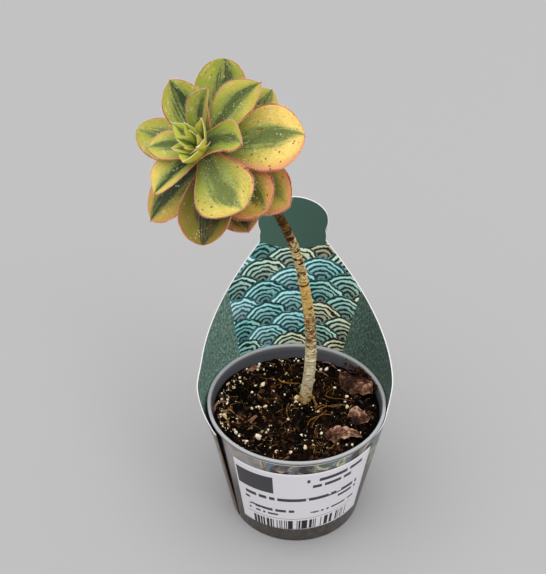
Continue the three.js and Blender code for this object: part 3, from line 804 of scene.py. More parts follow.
# Marks that the photograph shows plainly: height along the stem, turn in degrees with 270 in front,
# half height and half run in mm, height of the ridge and depth of its stain
SEEN_MARKS = [
    (44, 262, 0.6, 2.3, 0.6, 0.95), (54, 280, 0.65, 4.4, 0.6, 1.0), (60, 300, 0.7, 3.4, 0.6, 1.0),
    (40, 285, 0.4, 0.5, 0.1, 1.3), (32, 295, 0.45, 0.6, 0.1, 1.3), (50, 262, 0.4, 0.5, 0.1, 1.3),
    (35, 230, 0.6, 0.8, 0.1, 1.2), (48, 222, 0.7, 1.0, 0.1, 1.2), (28, 265, 0.5, 0.7, 0.1, 1.0),
    (66, 245, 0.5, 1.6, 0.2, 1.1), (72, 290, 0.5, 2.4, 0.2, 1.1), (78, 255, 0.4, 2.2, 0.2, 1.1),
    (94, 300, 0.8, 2.0, 0.3, 1.2), (104, 240, 0.6, 2.4, 0.2, 0.9), (112, 275, 0.8, 5.0, 0.45, 1.4),
    (120, 225, 2.2, 1.5, 0.2, 1.2), (129, 300, 1.4, 2.2, 0.3, 1.2), (133, 240, 1.5, 1.7, 0.3, 1.3),
    (139, 300, 1.0, 2.6, 0.4, 1.3), (145, 235, 1.6, 1.6, 0.3, 1.2), (150, 275, 1.6, 2.8, 0.5, 1.5),
    (156, 300, 0.8, 3.6, 0.4, 1.2), (163, 250, 1.0, 2.2, 0.4, 1.1), (172, 285, 0.8, 4.0, 0.4, 1.1),
]


def scar_at(along, angle, radius):
    """Height of the relief in mm, and its depth of colour, at a place on the bark."""
    relief, stain = 0.0, 0.0
    for height, middle, size in SCARS:
        rise = (along - height) / (SCAR_TALL * size)
        if abs(rise) > 2.2:
            continue
        arc = (angle - middle + math.pi) % (2 * math.pi) - math.pi
        run = arc * radius / (SCAR_WIDE * size)
        away = math.sqrt(rise * rise + run * run)
        lip = math.exp(-((away - 1) / 0.28) ** 2)
        relief += (0.26 if rise < 0 else 0.12) * lip - 0.14 * math.exp(-3 * away * away)
        stain = max(stain, 0.7 * math.exp(-1.6 * away * away), 0.5 * lip)
    for height, turn, tall, wide, ridge, depth in SEEN_MARKS:
        if abs(along - height) > 4:
            continue
        arc = (angle - math.radians(turn) + math.pi) % (2 * math.pi) - math.pi
        run = arc * radius / wide
        rise = (along - height + 0.5 * run * run) / tall
        mark = math.exp(-rise * rise - run ** 4)
        relief += ridge * mark
        stain = max(stain, depth * mark)
    return relief, stain


# %% [markdown]
# The bark shader needs a place on the bark that doesn't care how the stem bends, so each vertex
# keeps its place on the straightened stem: across in two directions, and along. Rings and flakes
# are noise squeezed along that third direction, and ramps by height give the change from a cream
# foot through golden tan to dark olive brown under the rosette.

# %% Stem mesh
stem = bmesh.new()
bark_place = stem.verts.layers.float_vector.new("bark_place")
stain_layer = stem.verts.layers.float.new("stain")


def stem_skin_place(vert, turn, ring):
    """Place on the stem's skin, with its straightened place and its stain stored on the vertex."""
    _, side, front = STEM_FRAMES[ring]
    centre = STEM_LINE[ring]
    along = STEM_LENGTH * ring / STEM_RINGS
    angle = 2 * math.pi * turn
    radius = bare_radius(along)
    if ring in (0, STEM_RINGS):
        vert[bark_place] = (0, 0, along)
        return centre.copy()
    straight = Vector((radius * math.cos(angle), radius * math.sin(angle), along))
    relief, stain = scar_at(along, angle, radius)
    flake = roughness_of((straight.x * 0.6, straight.y * 0.6, straight.z * 1.8), 2.2, 3.0)
    grain = roughness_of(straight, 1.1, 9.0)
    radius += relief + 0.13 * flake + 0.05 * grain
    vert[bark_place] = straight
    vert[stain_layer] = stain
    return centre + (side * math.cos(angle) + front * math.sin(angle)) * radius


closed_skin(stem, STEM_COLUMNS, STEM_RINGS, stem_skin_place)
print("stem faces before the root:", len(stem.faces))

# %% [markdown]
# Bark is dry papery skin over tan wood. Ground and light are two ramps up the stem that ringed noise
# mixes. Brown patches, the scars' stain and hairline cracks lie over them, each with its own ramp or
# colour.

# %% Bark


def ramp_of(add, factor, stops):
    """A colour ramp through (position, hex colour) stops."""
    node = add("ValToRGB", inputs={"Fac": factor})
    elements = node.color_ramp.elements
    while len(elements) < len(stops):
        elements.new(0.5)
    for element, (position, code) in zip(elements, stops):
        element.position = position
        element.color = colour(code)
    return node.outputs["Color"]


def bark_skin():
    """Bark of a woody succulent: dry papery skin, ringed and flaking, over tan wood."""
    material, add = new_material("succulent_bark")
    place = add("Attribute", {"attribute_name": "bark_place"}).outputs["Vector"]
    stain = add("Attribute", {"attribute_name": "stain"})
    parts = add("SeparateXYZ", inputs={0: place})
    height = add("MapRange", inputs={"Value": parts.outputs["Z"], "From Min": 20.0, "From Max": 200.0})
    # From the soil up: ochre foot, cream, golden tan, pale cream, then dark olive brown
    ground = ramp_of(add, height, [
        (0.0, "#b98432"), (0.05, "#cdb98a"), (0.22, "#dccca0"), (0.3, "#e0c486"), (0.38, "#e0b25a"),
        (0.46, "#e0ae50"), (0.52, "#eabc5c"), (0.58, "#f0cf80"), (0.7, "#f0d284"), (0.735, "#80581a"),
        (0.8, "#6b5216"), (1.0, "#5e4e16")])
    light = ramp_of(add, height, [
        (0.0, "#dcb870"), (0.1, "#f4ecd0"), (0.3, "#fdeebc"), (0.46, "#f4d084"), (0.58, "#fdeab4"),
        (0.71, "#fbe9b4"), (0.75, "#ac8434"), (1.0, "#a28c3a")])
    # How much of the bark is brown at each height, from none in black to all of it in white
    patched = ramp_of(add, height, [
        (0.0, "#8a8a8a"), (0.06, "#5c5c5c"), (0.22, "#565656"), (0.27, "#a4a4a4"), (0.36, "#9c9c9c"),
        (0.41, "#585858"), (0.5, "#686868"), (0.56, "#8a8a8a"), (0.7, "#8c8c8c"), (0.76, "#acacac"),
        (1.0, "#b4b4b4")])
    rings_place = add("Mapping", inputs={"Vector": place, "Scale": (0.22, 0.22, 1.3)})
    rings = add("TexNoise", inputs={
        "Vector": rings_place, "Scale": 1.0, "Detail": 6.0, "Roughness": 0.75})
    blotch_place = add("Mapping", inputs={"Vector": place, "Scale": (0.3, 0.3, 0.62)})
    blotch = add("TexNoise", inputs={
        "Vector": blotch_place, "Scale": 1.0, "Detail": 6.0, "Roughness": 0.8, "Distortion": 0.8})
    pale = add("MapRange", SMOOTHSTEP, {
        "Value": rings, "From Min": 0.48, "From Max": 0.56, "To Max": 0.95})
    bark = add("Mix", RGBA, {0: pale, 6: ground, 7: light})
    limit = add("Math", MULTIPLY_ADD, {0: patched, 1: 0.42, 2: blotch})
    limit = add("Math", MULTIPLY_ADD, {0: rings, 1: -0.35, 2: limit})
    brown = add("MapRange", SMOOTHSTEP, {
        "Value": limit, "From Min": 0.41, "From Max": 0.48, "To Max": 0.95})
    dark = ramp_of(add, height, [
        (0.0, "#5c3c16"), (0.25, "#6e481c"), (0.45, "#6a3b0c"), (0.7, "#4a2808"), (1.0, "#2c2006")])
    bark = add("Mix", RGBA, {0: brown, 6: bark, 7: dark})
    scar = add("Math", MULTIPLY_ADD, {0: blotch, 1: 0.8, 2: stain.outputs["Fac"]})
    scar = add("MapRange", SMOOTHSTEP, {"Value": scar, "From Min": 0.85, "From Max": 1.45})
    scar_colour = ramp_of(add, height, [
        (0.0, "#6d4216"), (0.24, "#a8701f"), (0.3, "#6a3c14"), (0.45, "#4a260e"), (1.0, "#24150a")])
    bark = add("Mix", RGBA, {0: scar, 6: bark, 7: scar_colour})
    # Hairline cracks and pores, less than half a millimetre high
    crack_place = add("Mapping", inputs={"Vector": place, "Scale": (0.9, 0.9, 2.6)})
    crack = add("TexNoise", inputs={"Vector": crack_place, "Scale": 1.0, "Detail": 3.0})
    crack = add("MapRange", SMOOTHSTEP, {
        "Value": crack, "From Min": 0.62, "From Max": 0.68, "To Max": 0.75})
    bark = add("Mix", RGBA, {0: crack, 6: bark, 7: colour("#3c2610")})
    relief = add("Bump", inputs={"Strength": 0.9, "Distance": 0.001, "Height": rings})
    close_material(add, {
        "Base Color": bark, "Roughness": 0.62, "Normal": relief, "Specular IOR Level": 0.15})
    return material


BARK_SKIN = bark_skin()

# %% [markdown]
# One thin prop root leaves the foot of the stem and dips into the soil, as on the real plant. It is
# the same kind of skin on a short curve, joined to the stem's mesh.

# %% Prop root
ROOT_ROUTE = ((6.2, 12, 74), (9.8, 9.6, 72.5), (12, 6.5, 68), (12.6, 5, 62.5))


def add_strand(mesh, points, radius, columns, rings, taper=0.0, flat=1.0):
    """A round or flat strand with closed ends along a smooth curve through a few points."""
    line, _ = even_route(smooth_route([Vector(point) for point in points], 8), rings)
    frames = carried_frames(line)

    def place_of(vert, turn, ring):
        if ring in (0, rings):
            return line[ring].copy()
        angle = 2 * math.pi * turn
        thick = radius * (1 - taper * ring / rings)
        across = frames[ring][1] * math.cos(angle) + frames[ring][2] * math.sin(angle) * flat
        return line[ring] + across * thick

    return closed_skin(mesh, columns, rings, place_of)


for vert in add_strand(stem, ROOT_ROUTE, radius=0.75, columns=10, rings=16):
    # The root has the bark of the stem's foot, a little stained
    vert[bark_place] = (vert.co.x, vert.co.y, 20.0)
    vert[stain_layer] = 0.2
finish_piece("stem_bark", stem, [BARK_SKIN], "stem_bark", "stem")

# %% [markdown]
# A nursery pot is moulded from thin grey plastic, with a rolled lip. A profile of a few points with
# rounded corners is spun once round the axis, and the drain holes stay where the model has them.

# %% Spun profiles
POT_HEIGHT = 79.0
POT_FOOT_RADIUS = 40.0
POT_TAPER = 0.1472
POT_WALL = 0.9
POT_FLOOR = 1.2
LIP_UNDERSIDE = 76.8
LIP_RADIUS = 53.3
LIP_TOP_WIDTH = 1.7
POT_STEPS = 128
DRAIN_HOLES = 6
DRAIN_RADIUS = 3.5
DRAIN_RING = 27.0


def pot_radius(z):
    """Outer radius of the pot's tapered wall at a height."""
    return POT_FOOT_RADIUS + POT_TAPER * z


def rounded_profile(corners, radius, steps=4):
    """The same open profile with each inner corner drawn as a short arc."""
    points = [Vector(corners[0])]
    for before, corner, after in zip(corners, corners[1:], corners[2:]):
        before, corner, after = Vector(before), Vector(corner), Vector(after)
        cut = min(radius, 0.45 * (before - corner).length, 0.45 * (after - corner).length)
        start = corner + (before - corner).normalized() * cut
        end = corner + (after - corner).normalized() * cut
        for step in range(steps + 1):
            share = step / steps
            points.append(start.lerp(corner, share).lerp(corner.lerp(end, share), share))
    points.append(Vector(corners[-1]))
    return points


def spin_profile(mesh, points, steps):
    """Spins a profile of (radius, height) points once round the Z axis."""
    verts = [mesh.verts.new((point.x, 0, point.y)) for point in points]
    edges = [mesh.edges.new(pair) for pair in zip(verts, verts[1:])]
    bmesh.ops.spin(mesh, geom=verts + edges, cent=(0, 0, 0), axis=(0, 0, 1), angle=2 * math.pi,
                   steps=steps, use_merge=True)
    bmesh.ops.remove_doubles(mesh, verts=mesh.verts, dist=0.001)
    bmesh.ops.recalc_face_normals(mesh, faces=mesh.faces)


# %% [markdown]
# The drain holes are cut by a Boolean with six short cylinders. The tool is a modifier that is used
# once and applied, so the finished pot is a plain mesh.

# %% Profile of the pot and the cutting tool
POT_PROFILE = [
    (0, POT_FLOOR), (POT_FOOT_RADIUS - POT_WALL, POT_FLOOR),
    (pot_radius(LIP_UNDERSIDE) - POT_WALL, LIP_UNDERSIDE - 1), (LIP_RADIUS - LIP_TOP_WIDTH, POT_HEIGHT),
    (LIP_RADIUS, POT_HEIGHT), (LIP_RADIUS, LIP_UNDERSIDE),
    (pot_radius(LIP_UNDERSIDE - 1), LIP_UNDERSIDE - 1), (POT_FOOT_RADIUS, 0), (0, 0),
]


def cut_away(piece, cutter):
    """Cuts a bmesh in millimetres out of a finished piece."""
    bmesh.ops.scale(cutter, vec=(MM, MM, MM), verts=cutter.verts)
    cutter_data = bpy.data.meshes.new("cutter")
    cutter.to_mesh(cutter_data)
    cutter.free()
    tool = bpy.data.objects.new("cutter", cutter_data)
    bpy.context.scene.collection.objects.link(tool)
    cut = piece.modifiers.new("cut", "BOOLEAN")
    cut.operation = "DIFFERENCE"
    cut.solver = "EXACT"
    cut.object = tool
    graph = bpy.context.evaluated_depsgraph_get()
    data = bpy.data.meshes.new_from_object(piece.evaluated_get(graph))
    piece.modifiers.clear()
    piece.data = data
    bpy.data.objects.remove(tool)
    bpy.data.meshes.remove(cutter_data)


# %% [markdown]
# Moulded polypropylene is satin and mid grey. Fine draw marks run round the wall, and a few grains of
# soil cling to it.

# %% Pot plastic


def pot_plastic():
    """Thin moulded polypropylene: mid grey, satin, faint draw marks round the wall, painted lip
    highlight.
    """
    material, add = new_material("moulded_grey_polypropylene")
    place = add("TexCoord").outputs["Object"]
    marks_place = add("Mapping", inputs={"Vector": place, "Scale": (60, 60, 1800)})
    marks = add("TexNoise", inputs={"Vector": marks_place, "Scale": 1.0, "Detail": 3.0})
    cloud = add("TexNoise", inputs={"Vector": place, "Scale": 45.0, "Detail": 4.0})
    dust = add("TexVoronoi", {"feature": "F1"}, {"Vector": place, "Scale": 420.0})
    draw = add("SeparateColor", inputs={0: dust.outputs["Color"]})
    size = add("MapRange", inputs={
        "Value": draw.outputs[0], "From Min": 0.86, "From Max": 1.0, "To Max": 0.26})
    dusty = add("Math", LESS_THAN, {0: dust.outputs["Distance"], 1: size})
    plastic = add("Mix", RGBA, {0: cloud, 6: colour("#4c4d52"), 7: colour("#5c5d62")})
    # Painted highlight along the lip: its upper millimetre and a half is paler, from these heights in
    # metres
    height = add("SeparateXYZ", inputs={0: place})
    edge = add("MapRange", SMOOTHSTEP, {
        "Value": height.outputs[2], "From Min": 0.0772, "From Max": 0.0786, "To Max": 0.85})
    plastic = add("Mix", RGBA, {0: edge, 6: plastic, 7: colour("#b8b9ba")})
    plastic = add("Mix", RGBA, {0: dusty, 6: plastic, 7: colour("#4a3426")})
    relief = add("Bump", inputs={"Strength": 0.15, "Distance": 0.0003, "Height": marks})
    close_material(add, {
        "Base Color": plastic, "Roughness": 0.3, "Normal": relief, "Specular IOR Level": 0.6})
    return material


# %% Pot with its drain holes
pot = bmesh.new()
spin_profile(pot, rounded_profile(POT_PROFILE, radius=0.45), POT_STEPS)
pot_piece = finish_piece("nursery_pot", pot, [pot_plastic()], "pot_plastic", "pot")
drills = bmesh.new()
for hole in range(DRAIN_HOLES):
    angle = 2 * math.pi * hole / DRAIN_HOLES
    middle = (DRAIN_RING * math.cos(angle), DRAIN_RING * math.sin(angle), 0)
    bmesh.ops.create_cone(drills, cap_ends=True, segments=32, radius1=DRAIN_RADIUS, radius2=DRAIN_RADIUS,
                          depth=4 * POT_FLOOR, matrix=Matrix.Translation(middle))
cut_away(pot_piece, drills)
print("pot faces after drilling:", len(pot_piece.data.polygons))

# %% [markdown]
# The sleeve is one sheet of printed card, bent into a cone and glued. Its top edge is low in front,
# so that the pot's lip shows, and rises at the back into a panel with a round head. A flat grid is
# bent to that shape and then gets its thickness. Card is printed outside and inside, its cut edge is
# white and its ends at the seam are brown, so the piece has four finishes.

# %% Edge and radius of the sleeve
CARD_THICKNESS = 0.6
CARD_TURN = -1.7
CARD_FLARE = 2.0
CARD_FLARE_HEIGHT = 76.0
HEAD_HALF_ANGLE = 17.2
HEAD_SHOULDER = 163.0
HEAD_RISE = 14.0
HEAD_NECK = 0.6
HEAD_BULGE = 1.1
FRONT_EDGE = 75.6
HEAD_JUMP = 0.1
WING_TOP = 173.0
WING_FALL = 1.37
WING_EASE = 0.0053
WING_FLARE = 2.4
SEAM_ANGLE = -120.5
SEAM_SLIT = 1.6
SEAM_LIFT = 1.4
CARD_FOOT = 0.4
GAP = 0.3


def card_edge(angle):
    """Height of the sleeve's cut edge at an angle from the back: head, wings, low front."""
    away = abs(angle - CARD_TURN)
    # The wings fall away from the head in a slow curve
    wing = WING_TOP - WING_FALL * away + WING_EASE * away * away
    if away < HEAD_HALF_ANGLE - HEAD_JUMP:
        across = away / (HEAD_HALF_ANGLE - HEAD_JUMP)
        return HEAD_SHOULDER + HEAD_RISE * math.sqrt(1 - across * across)
    if away < HEAD_HALF_ANGLE + HEAD_JUMP:
        return mix(HEAD_SHOULDER, wing, (away - HEAD_HALF_ANGLE + HEAD_JUMP) / (2 * HEAD_JUMP))
    return mix(wing, FRONT_EDGE, smooth_step(92, 109, away))


def card_radius(angle, z):
    """Inner radius of the sleeve, outside the lip at the back and under it in front."""
    outside = 1 - smooth_step(106, 135, abs(angle - CARD_TURN))
    # The left wing's free edge is bent out a little
    left = CARD_TURN - angle
    bent = smooth_step(76, 96, left) * (1 - smooth_step(100, 118, left)) * smooth_step(55, 88, z)
    return pot_radius(z) + GAP + outside * CARD_FLARE * z / CARD_FLARE_HEIGHT + bent * WING_FLARE


# %% [markdown]
# The grid's columns stand close together at the head's two sides, where the edge jumps down to the
# wings, and further apart elsewhere. At the seam the first end laps a little over the last.

# %% Columns and places of the sleeve


def card_stations():
    """Angles of the upright columns, close together at the head's two sides."""
    left, right = CARD_TURN - HEAD_HALF_ANGLE, CARD_TURN + HEAD_HALF_ANGLE
    # Start, end and number of columns of each run of angles
    runs = [
        (SEAM_ANGLE, SEAM_ANGLE + 12, 8), (SEAM_ANGLE + 12, left - 6, 60),
        (left - 6, left - HEAD_JUMP, 12), (left - HEAD_JUMP, left + HEAD_JUMP, 16),
        (left + HEAD_JUMP, left + 2, 12), (left + 2, right - 2, 32), (right - 2, right - HEAD_JUMP, 12),
        (right - HEAD_JUMP, right + HEAD_JUMP, 16), (right + HEAD_JUMP, right + 6, 12),
        (right + 6, right + 98, 64), (right + 98, SEAM_ANGLE + 360, 84),
    ]
    angles = []
    for start, end, count in runs:
        first = 1 if angles and abs(start - angles[-1]) < 1e-6 else 0
        angles += [start + (end - start) * i / count for i in range(first, count + 1)]
    return angles


def card_place(angle, share):
    """A place on the sleeve's inner face, with its angle."""
    first, last = SEAM_ANGLE, SEAM_ANGLE + 360
    z = mix(CARD_FOOT, card_edge(angle), share)
    slit = math.degrees(SEAM_SLIT * smooth_step(last - 30, last, angle) / POT_FOOT_RADIUS)
    lifted = SEAM_LIFT * (1 - smooth_step(first, first + 12, angle)) * z / FRONT_EDGE
    radius = card_radius(angle, z) + lifted
    # The head is round: it bulges a little above its neck, where it meets the wings
    away = angle - CARD_TURN
    bulge = mix(-HEAD_NECK, HEAD_BULGE, smooth_step(153.5, 162, z)) * smooth_step(149, 152, z)
    bulge *= smooth_step(6, HEAD_HALF_ANGLE, abs(away))
    bulge *= 1 - smooth_step(HEAD_HALF_ANGLE + HEAD_JUMP, 20, abs(away))
    at = math.radians(angle - slit + math.copysign(bulge, away))
    return Vector((radius * math.sin(at), radius * math.cos(at), z)), math.degrees(at)


# %% [markdown]
# The prints need to know how far they are from the cut edge, where a white border stays. A tree of
# points along the edge answers that for each vertex near it. Then the sheet is extruded outwards by
# the card's thickness, and each face takes the finish of the side that it is on.

# %% Sleeve mesh
CARD_ROWS = 84
PRINT_RADIUS = 50.0
FAR_FROM_EDGE = 9.0
EDGE_STEP = 0.4
sleeve = bmesh.new()
print_place = sleeve.verts.layers.float_vector.new("print_place")
from_edge = sleeve.verts.layers.float.new("from_edge")
stations = card_stations()
upper_verts, rim_places = [], {}
made = bmesh.ops.create_grid(sleeve, x_segments=len(stations) - 1, y_segments=CARD_ROWS, size=0.5)
for vert in made["verts"]:
    column = round((vert.co.x + 0.5) * (len(stations) - 1))
    share = min(1.0, max(0.0, vert.co.y + 0.5))
    # Rows lie closer together towards the cut edge
    share = 1 - (1 - share) ** 1.35
    vert.co, at = card_place(stations[column], share)
    vert[print_place] = (math.radians(at) * PRINT_RADIUS, vert.co.z, 0)
    # Only card near the cut edge has to know how far off it is
    on_edge = share > 0.999
    if on_edge or vert.co.z > FRONT_EDGE - 20:
        upper_verts.append(vert)
    if on_edge:
        rim_places[column] = vert.co.copy()
rim_line = [rim_places[column] for column in range(len(stations))]
edge_points = []
for first, second in zip(rim_line, rim_line[1:]):
    pieces = 1 + int((second - first).length / EDGE_STEP)
    edge_points += [first.lerp(second, piece / pieces) for piece in range(pieces)]
rim_tree = kdtree.KDTree(len(edge_points))
for index, point in enumerate(edge_points):
    rim_tree.insert(point, index)
rim_tree.balance()
for vert in sleeve.verts:
    vert[from_edge] = FAR_FROM_EDGE
for vert in upper_verts:
    vert[from_edge] = min(FAR_FROM_EDGE, rim_tree.find(vert.co)[2])
inner_faces = list(sleeve.faces)
made = bmesh.ops.extrude_face_region(sleeve, geom=inner_faces, use_keep_orig=True)
for vert in made["geom"]:
    if isinstance(vert, bmesh.types.BMVert):
        vert.co += Vector((vert.co.x, vert.co.y, 0)).normalized() * CARD_THICKNESS
bmesh.ops.recalc_face_normals(sleeve, faces=sleeve.faces)
# Finish 0 is the inner face, 1 the outer, 2 the cut edge on top and 3 the cut ends at the seam
for face in sleeve.faces:
    middle = face.calc_center_median()
    towards = face.normal.dot(Vector((middle.x, middle.y, 0)).normalized())
    face.material_index = 2 if abs(towards) < 0.6 else (1 if towards > 0 else 0)
    if face.material_index == 2 and abs(face.normal.z) < 0.5 and middle.z < FRONT_EDGE:
        face.material_index = 3
reach = [Vector((v.co.x, v.co.y)).length for v in sleeve.verts if v.co.z < 1]
print("sleeve foot radii in mm:", round(min(reach), 2), round(max(reach), 2))

# %% [markdown]
# Inside, the card is printed with rows of overlapping fans, an old paper-maker's pattern, ribbed in
# pale and deep teal. A fan is the nearest disc of a staggered net that covers the point, so the
# graph takes the disc in the lowest row that reaches it and ribs it by its distance.

# %% Fan print
FAN_RADIUS = 15.0
FAN_RISE = 7.4
RIB_STEP = 2.7
CARD_BORDER = 0.35


def fan_distance(add, across, up, row, shift):
    """Distance from a print place to the nearest fan centre, some rows below it."""
    line = add("Math", SUBTRACT, {0: row, 1: shift})
    odd = add("Math", {"operation": "PINGPONG"}, {0: line, 1: 1.0})
    offset = add("Math", MULTIPLY, {0: odd, 1: FAN_RADIUS})
    moved = add("Math", SUBTRACT, {0: across, 1: offset})
    column = add("Math", {"operation": "DIVIDE"}, {0: moved, 1: 2 * FAN_RADIUS})
    column = add("Math", {"operation": "ROUND"}, {0: column})
    sideways = add("Math", MULTIPLY_ADD, {0: column, 1: -2 * FAN_RADIUS, 2: moved})
    height = add("Math", MULTIPLY_ADD, {0: line, 1: -FAN_RISE, 2: up})
    reach = add("CombineXYZ", inputs={0: sideways, 1: height})
    distance = add("VectorMath", {"operation": "LENGTH"}, {0: reach})
    name = add("CombineXYZ", inputs={0: column, 1: line})
    return distance.outputs["Value"], name.outputs[0]


def fan_print(add, place):
    """The print's colour: ribbed overlapping fans in teal, pale aqua, olive and dark green."""
    wobble = add("TexNoise", inputs={"Vector": place, "Scale": 0.22, "Detail": 3.0})
    bent = add("VectorMath", MULTIPLY_ADD, {0: wobble.outputs["Color"], 1: (3.0, 3.0, 0.0), 2: place})
    parts = add("SeparateXYZ", inputs={0: bent})
    across, up = parts.outputs[0], parts.outputs[1]
    row = add("Math", {"operation": "DIVIDE"}, {0: up, 1: FAN_RISE})
    row = add("Math", FLOOR, {0: row})
    distance, name = fan_distance(add, across, up, row, 0.0)
    for shift in (1.0, 2.0):
        lower, lower_name = fan_distance(add, across, up, row, shift)
        covers = add("Math", LESS_THAN, {0: lower, 1: FAN_RADIUS})
        picked = add("Mix", {"data_type": "FLOAT"}, {0: covers, 2: distance, 3: lower})
        picked_name = add("Mix", {"data_type": "VECTOR"}, {0: covers, 4: name, 5: lower_name})
        distance, name = picked.outputs[0], picked_name.outputs[1]
    ribs = add("Math", MULTIPLY_ADD, {0: wobble, 1: 3.0, 2: distance})
    ribs = add("Math", MULTIPLY, {0: ribs, 1: 2 * math.pi / RIB_STEP})
    ribs = add("Math", {"operation": "SINE"}, {0: ribs})
    ribs = add("MapRange", SMOOTHSTEP, {"Value": ribs, "From Min": -0.75, "From Max": 0.8})
    # Each fan draws its inks: brighter aqua towards the left, dark green and cream to the right
    draw = add("TexWhiteNoise", {"noise_dimensions": "2D"}, {"Vector": name})
    leaning = add("MapRange", inputs={
        "Value": across, "From Min": -34.0, "From Max": 34.0, "To Min": -0.12, "To Max": 0.42})
    inks = add("Math", MULTIPLY_ADD, {0: draw.outputs["Value"], 1: 0.6, 2: leaning})
    pale = ramp_of(add, inks, [(0.0, "#eafbfa"), (0.2, "#b2ecea"), (0.4, "#7fcfcc"), (0.6, "#bfe4d2"),
                                (0.8, "#e2e4c0"), (1.0, "#98a276")])
    deep = ramp_of(add, inks, [(0.0, "#3690a0"), (0.2, "#0c4450"), (0.4, "#041f20"), (0.6, "#0a221c"),
                                (0.8, "#080f0a"), (1.0, "#040a08")])
    fans = add("Mix", RGBA, {0: ribs, 6: deep, 7: pale})
    # Printed light and shade make each fan look domed
    dome = add("MapRange", inputs={
        "Value": distance, "From Min": FAN_RADIUS, "From Max": 0.0, "To Min": 1.45, "To Max": 0.3})
    fans = add("VectorMath", SCALE, {0: fans, "Scale": dome})
    shade = add("MapRange", SMOOTHSTEP, {
        "Value": distance, "From Min": FAN_RADIUS - 0.9, "From Max": FAN_RADIUS - 0.1, "To Max": 0.9})
    return add("Mix", RGBA, {0: shade, 6: fans, 7: colour("#0d2424")})


# %% [markdown]
# Beside the fans the card has a plain field, and outside it carries a print of big soft blotches.
# Both are noise: each of its three colour channels is one ink's mask.

# %% Plain and blotched prints


def plain_print(add, place):
    """The plain field beside the fans: green-teal canvas with bluish and brownish flecks."""
    upright = add("Mapping", inputs={"Vector": place, "Scale": (1.2, 0.45, 0)})
    flecks = add("TexNoise", inputs={
        "Vector": upright, "Scale": 1.0, "Detail": 5.0, "Roughness": 0.75, "Distortion": 0.4})
    inks = add("SeparateColor", inputs={0: flecks.outputs["Color"]})
    blue = add("MapRange", SMOOTHSTEP, {"Value": inks.outputs[0], "From Min": 0.44, "From Max": 0.62})
    field = add("Mix", RGBA, {0: blue, 6: colour("#4a6a5a"), 7: colour("#98bcb4")})
    brown = add("MapRange", SMOOTHSTEP, {
        "Value": inks.outputs[1], "From Min": 0.52, "From Max": 0.66, "To Max": 0.85})
    field = add("Mix", RGBA, {0: brown, 6: field, 7: colour("#7d7c5c")})
    deep = add("MapRange", SMOOTHSTEP, {
        "Value": inks.outputs[2], "From Min": 0.54, "From Max": 0.68, "To Max": 0.8})
    return add("Mix", RGBA, {0: deep, 6: field, 7: colour("#3a5548")})


def blotch_print(add, place):
    """The outside print: big soft blotches in taupe, slate, dark brown, sage and cream."""
    broad = add("TexNoise", inputs={
        "Vector": place, "Scale": 0.09, "Detail": 5.0, "Roughness": 0.6, "Distortion": 1.0})
    inks = add("SeparateColor", inputs={0: broad.outputs["Color"]})
    masks = []
    for channel, start, stop in ((0, 0.42, 0.56), (1, 0.44, 0.56), (2, 0.5, 0.58)):
        masks.append(add("MapRange", SMOOTHSTEP, {
            "Value": inks.outputs[channel], "From Min": start, "From Max": stop}))
    warm = add("Mix", RGBA, {0: masks[0], 6: colour("#2b241f"), 7: colour("#8d8278")})
    cool = add("Mix", RGBA, {0: masks[0], 6: colour("#5d7284"), 7: colour("#4a6350")})
    picture = add("Mix", RGBA, {0: masks[1], 6: warm, 7: cool})
    cream = add("Math", MULTIPLY, {0: masks[2], 1: masks[0]})
    return add("Mix", RGBA, {0: cream, 6: picture, 7: colour("#c4b99f")})


def with_border(add, print_colour):
    """The print stops a little short of the cut edge, where the card stays white."""
    edge = add("Attribute", {"attribute_name": "from_edge"})
    white = add("MapRange", inputs={
        "Value": edge.outputs["Fac"], "From Min": CARD_BORDER + 0.1, "From Max": CARD_BORDER - 0.1})
    return add("Mix", RGBA, {0: white, 6: print_colour, 7: colour("#f8f7f6")})


# %% [markdown]
# The card's faces are coated, so they are smoother than its cut edge, where bare pulp shows: white
# all round the top, and brown kraft at the seam.

# %% Card finishes
# The panel of fans in millimetres of the print: its sides at the foot, its top, and how far they lean
# or arch
PANEL_LEFT, LEFT_LEAN = -32.9, 0.03
PANEL_RIGHT, RIGHT_LEAN = 20.3, -0.12
PANEL_TOP, TOP_ARCH = 144.0, -0.022


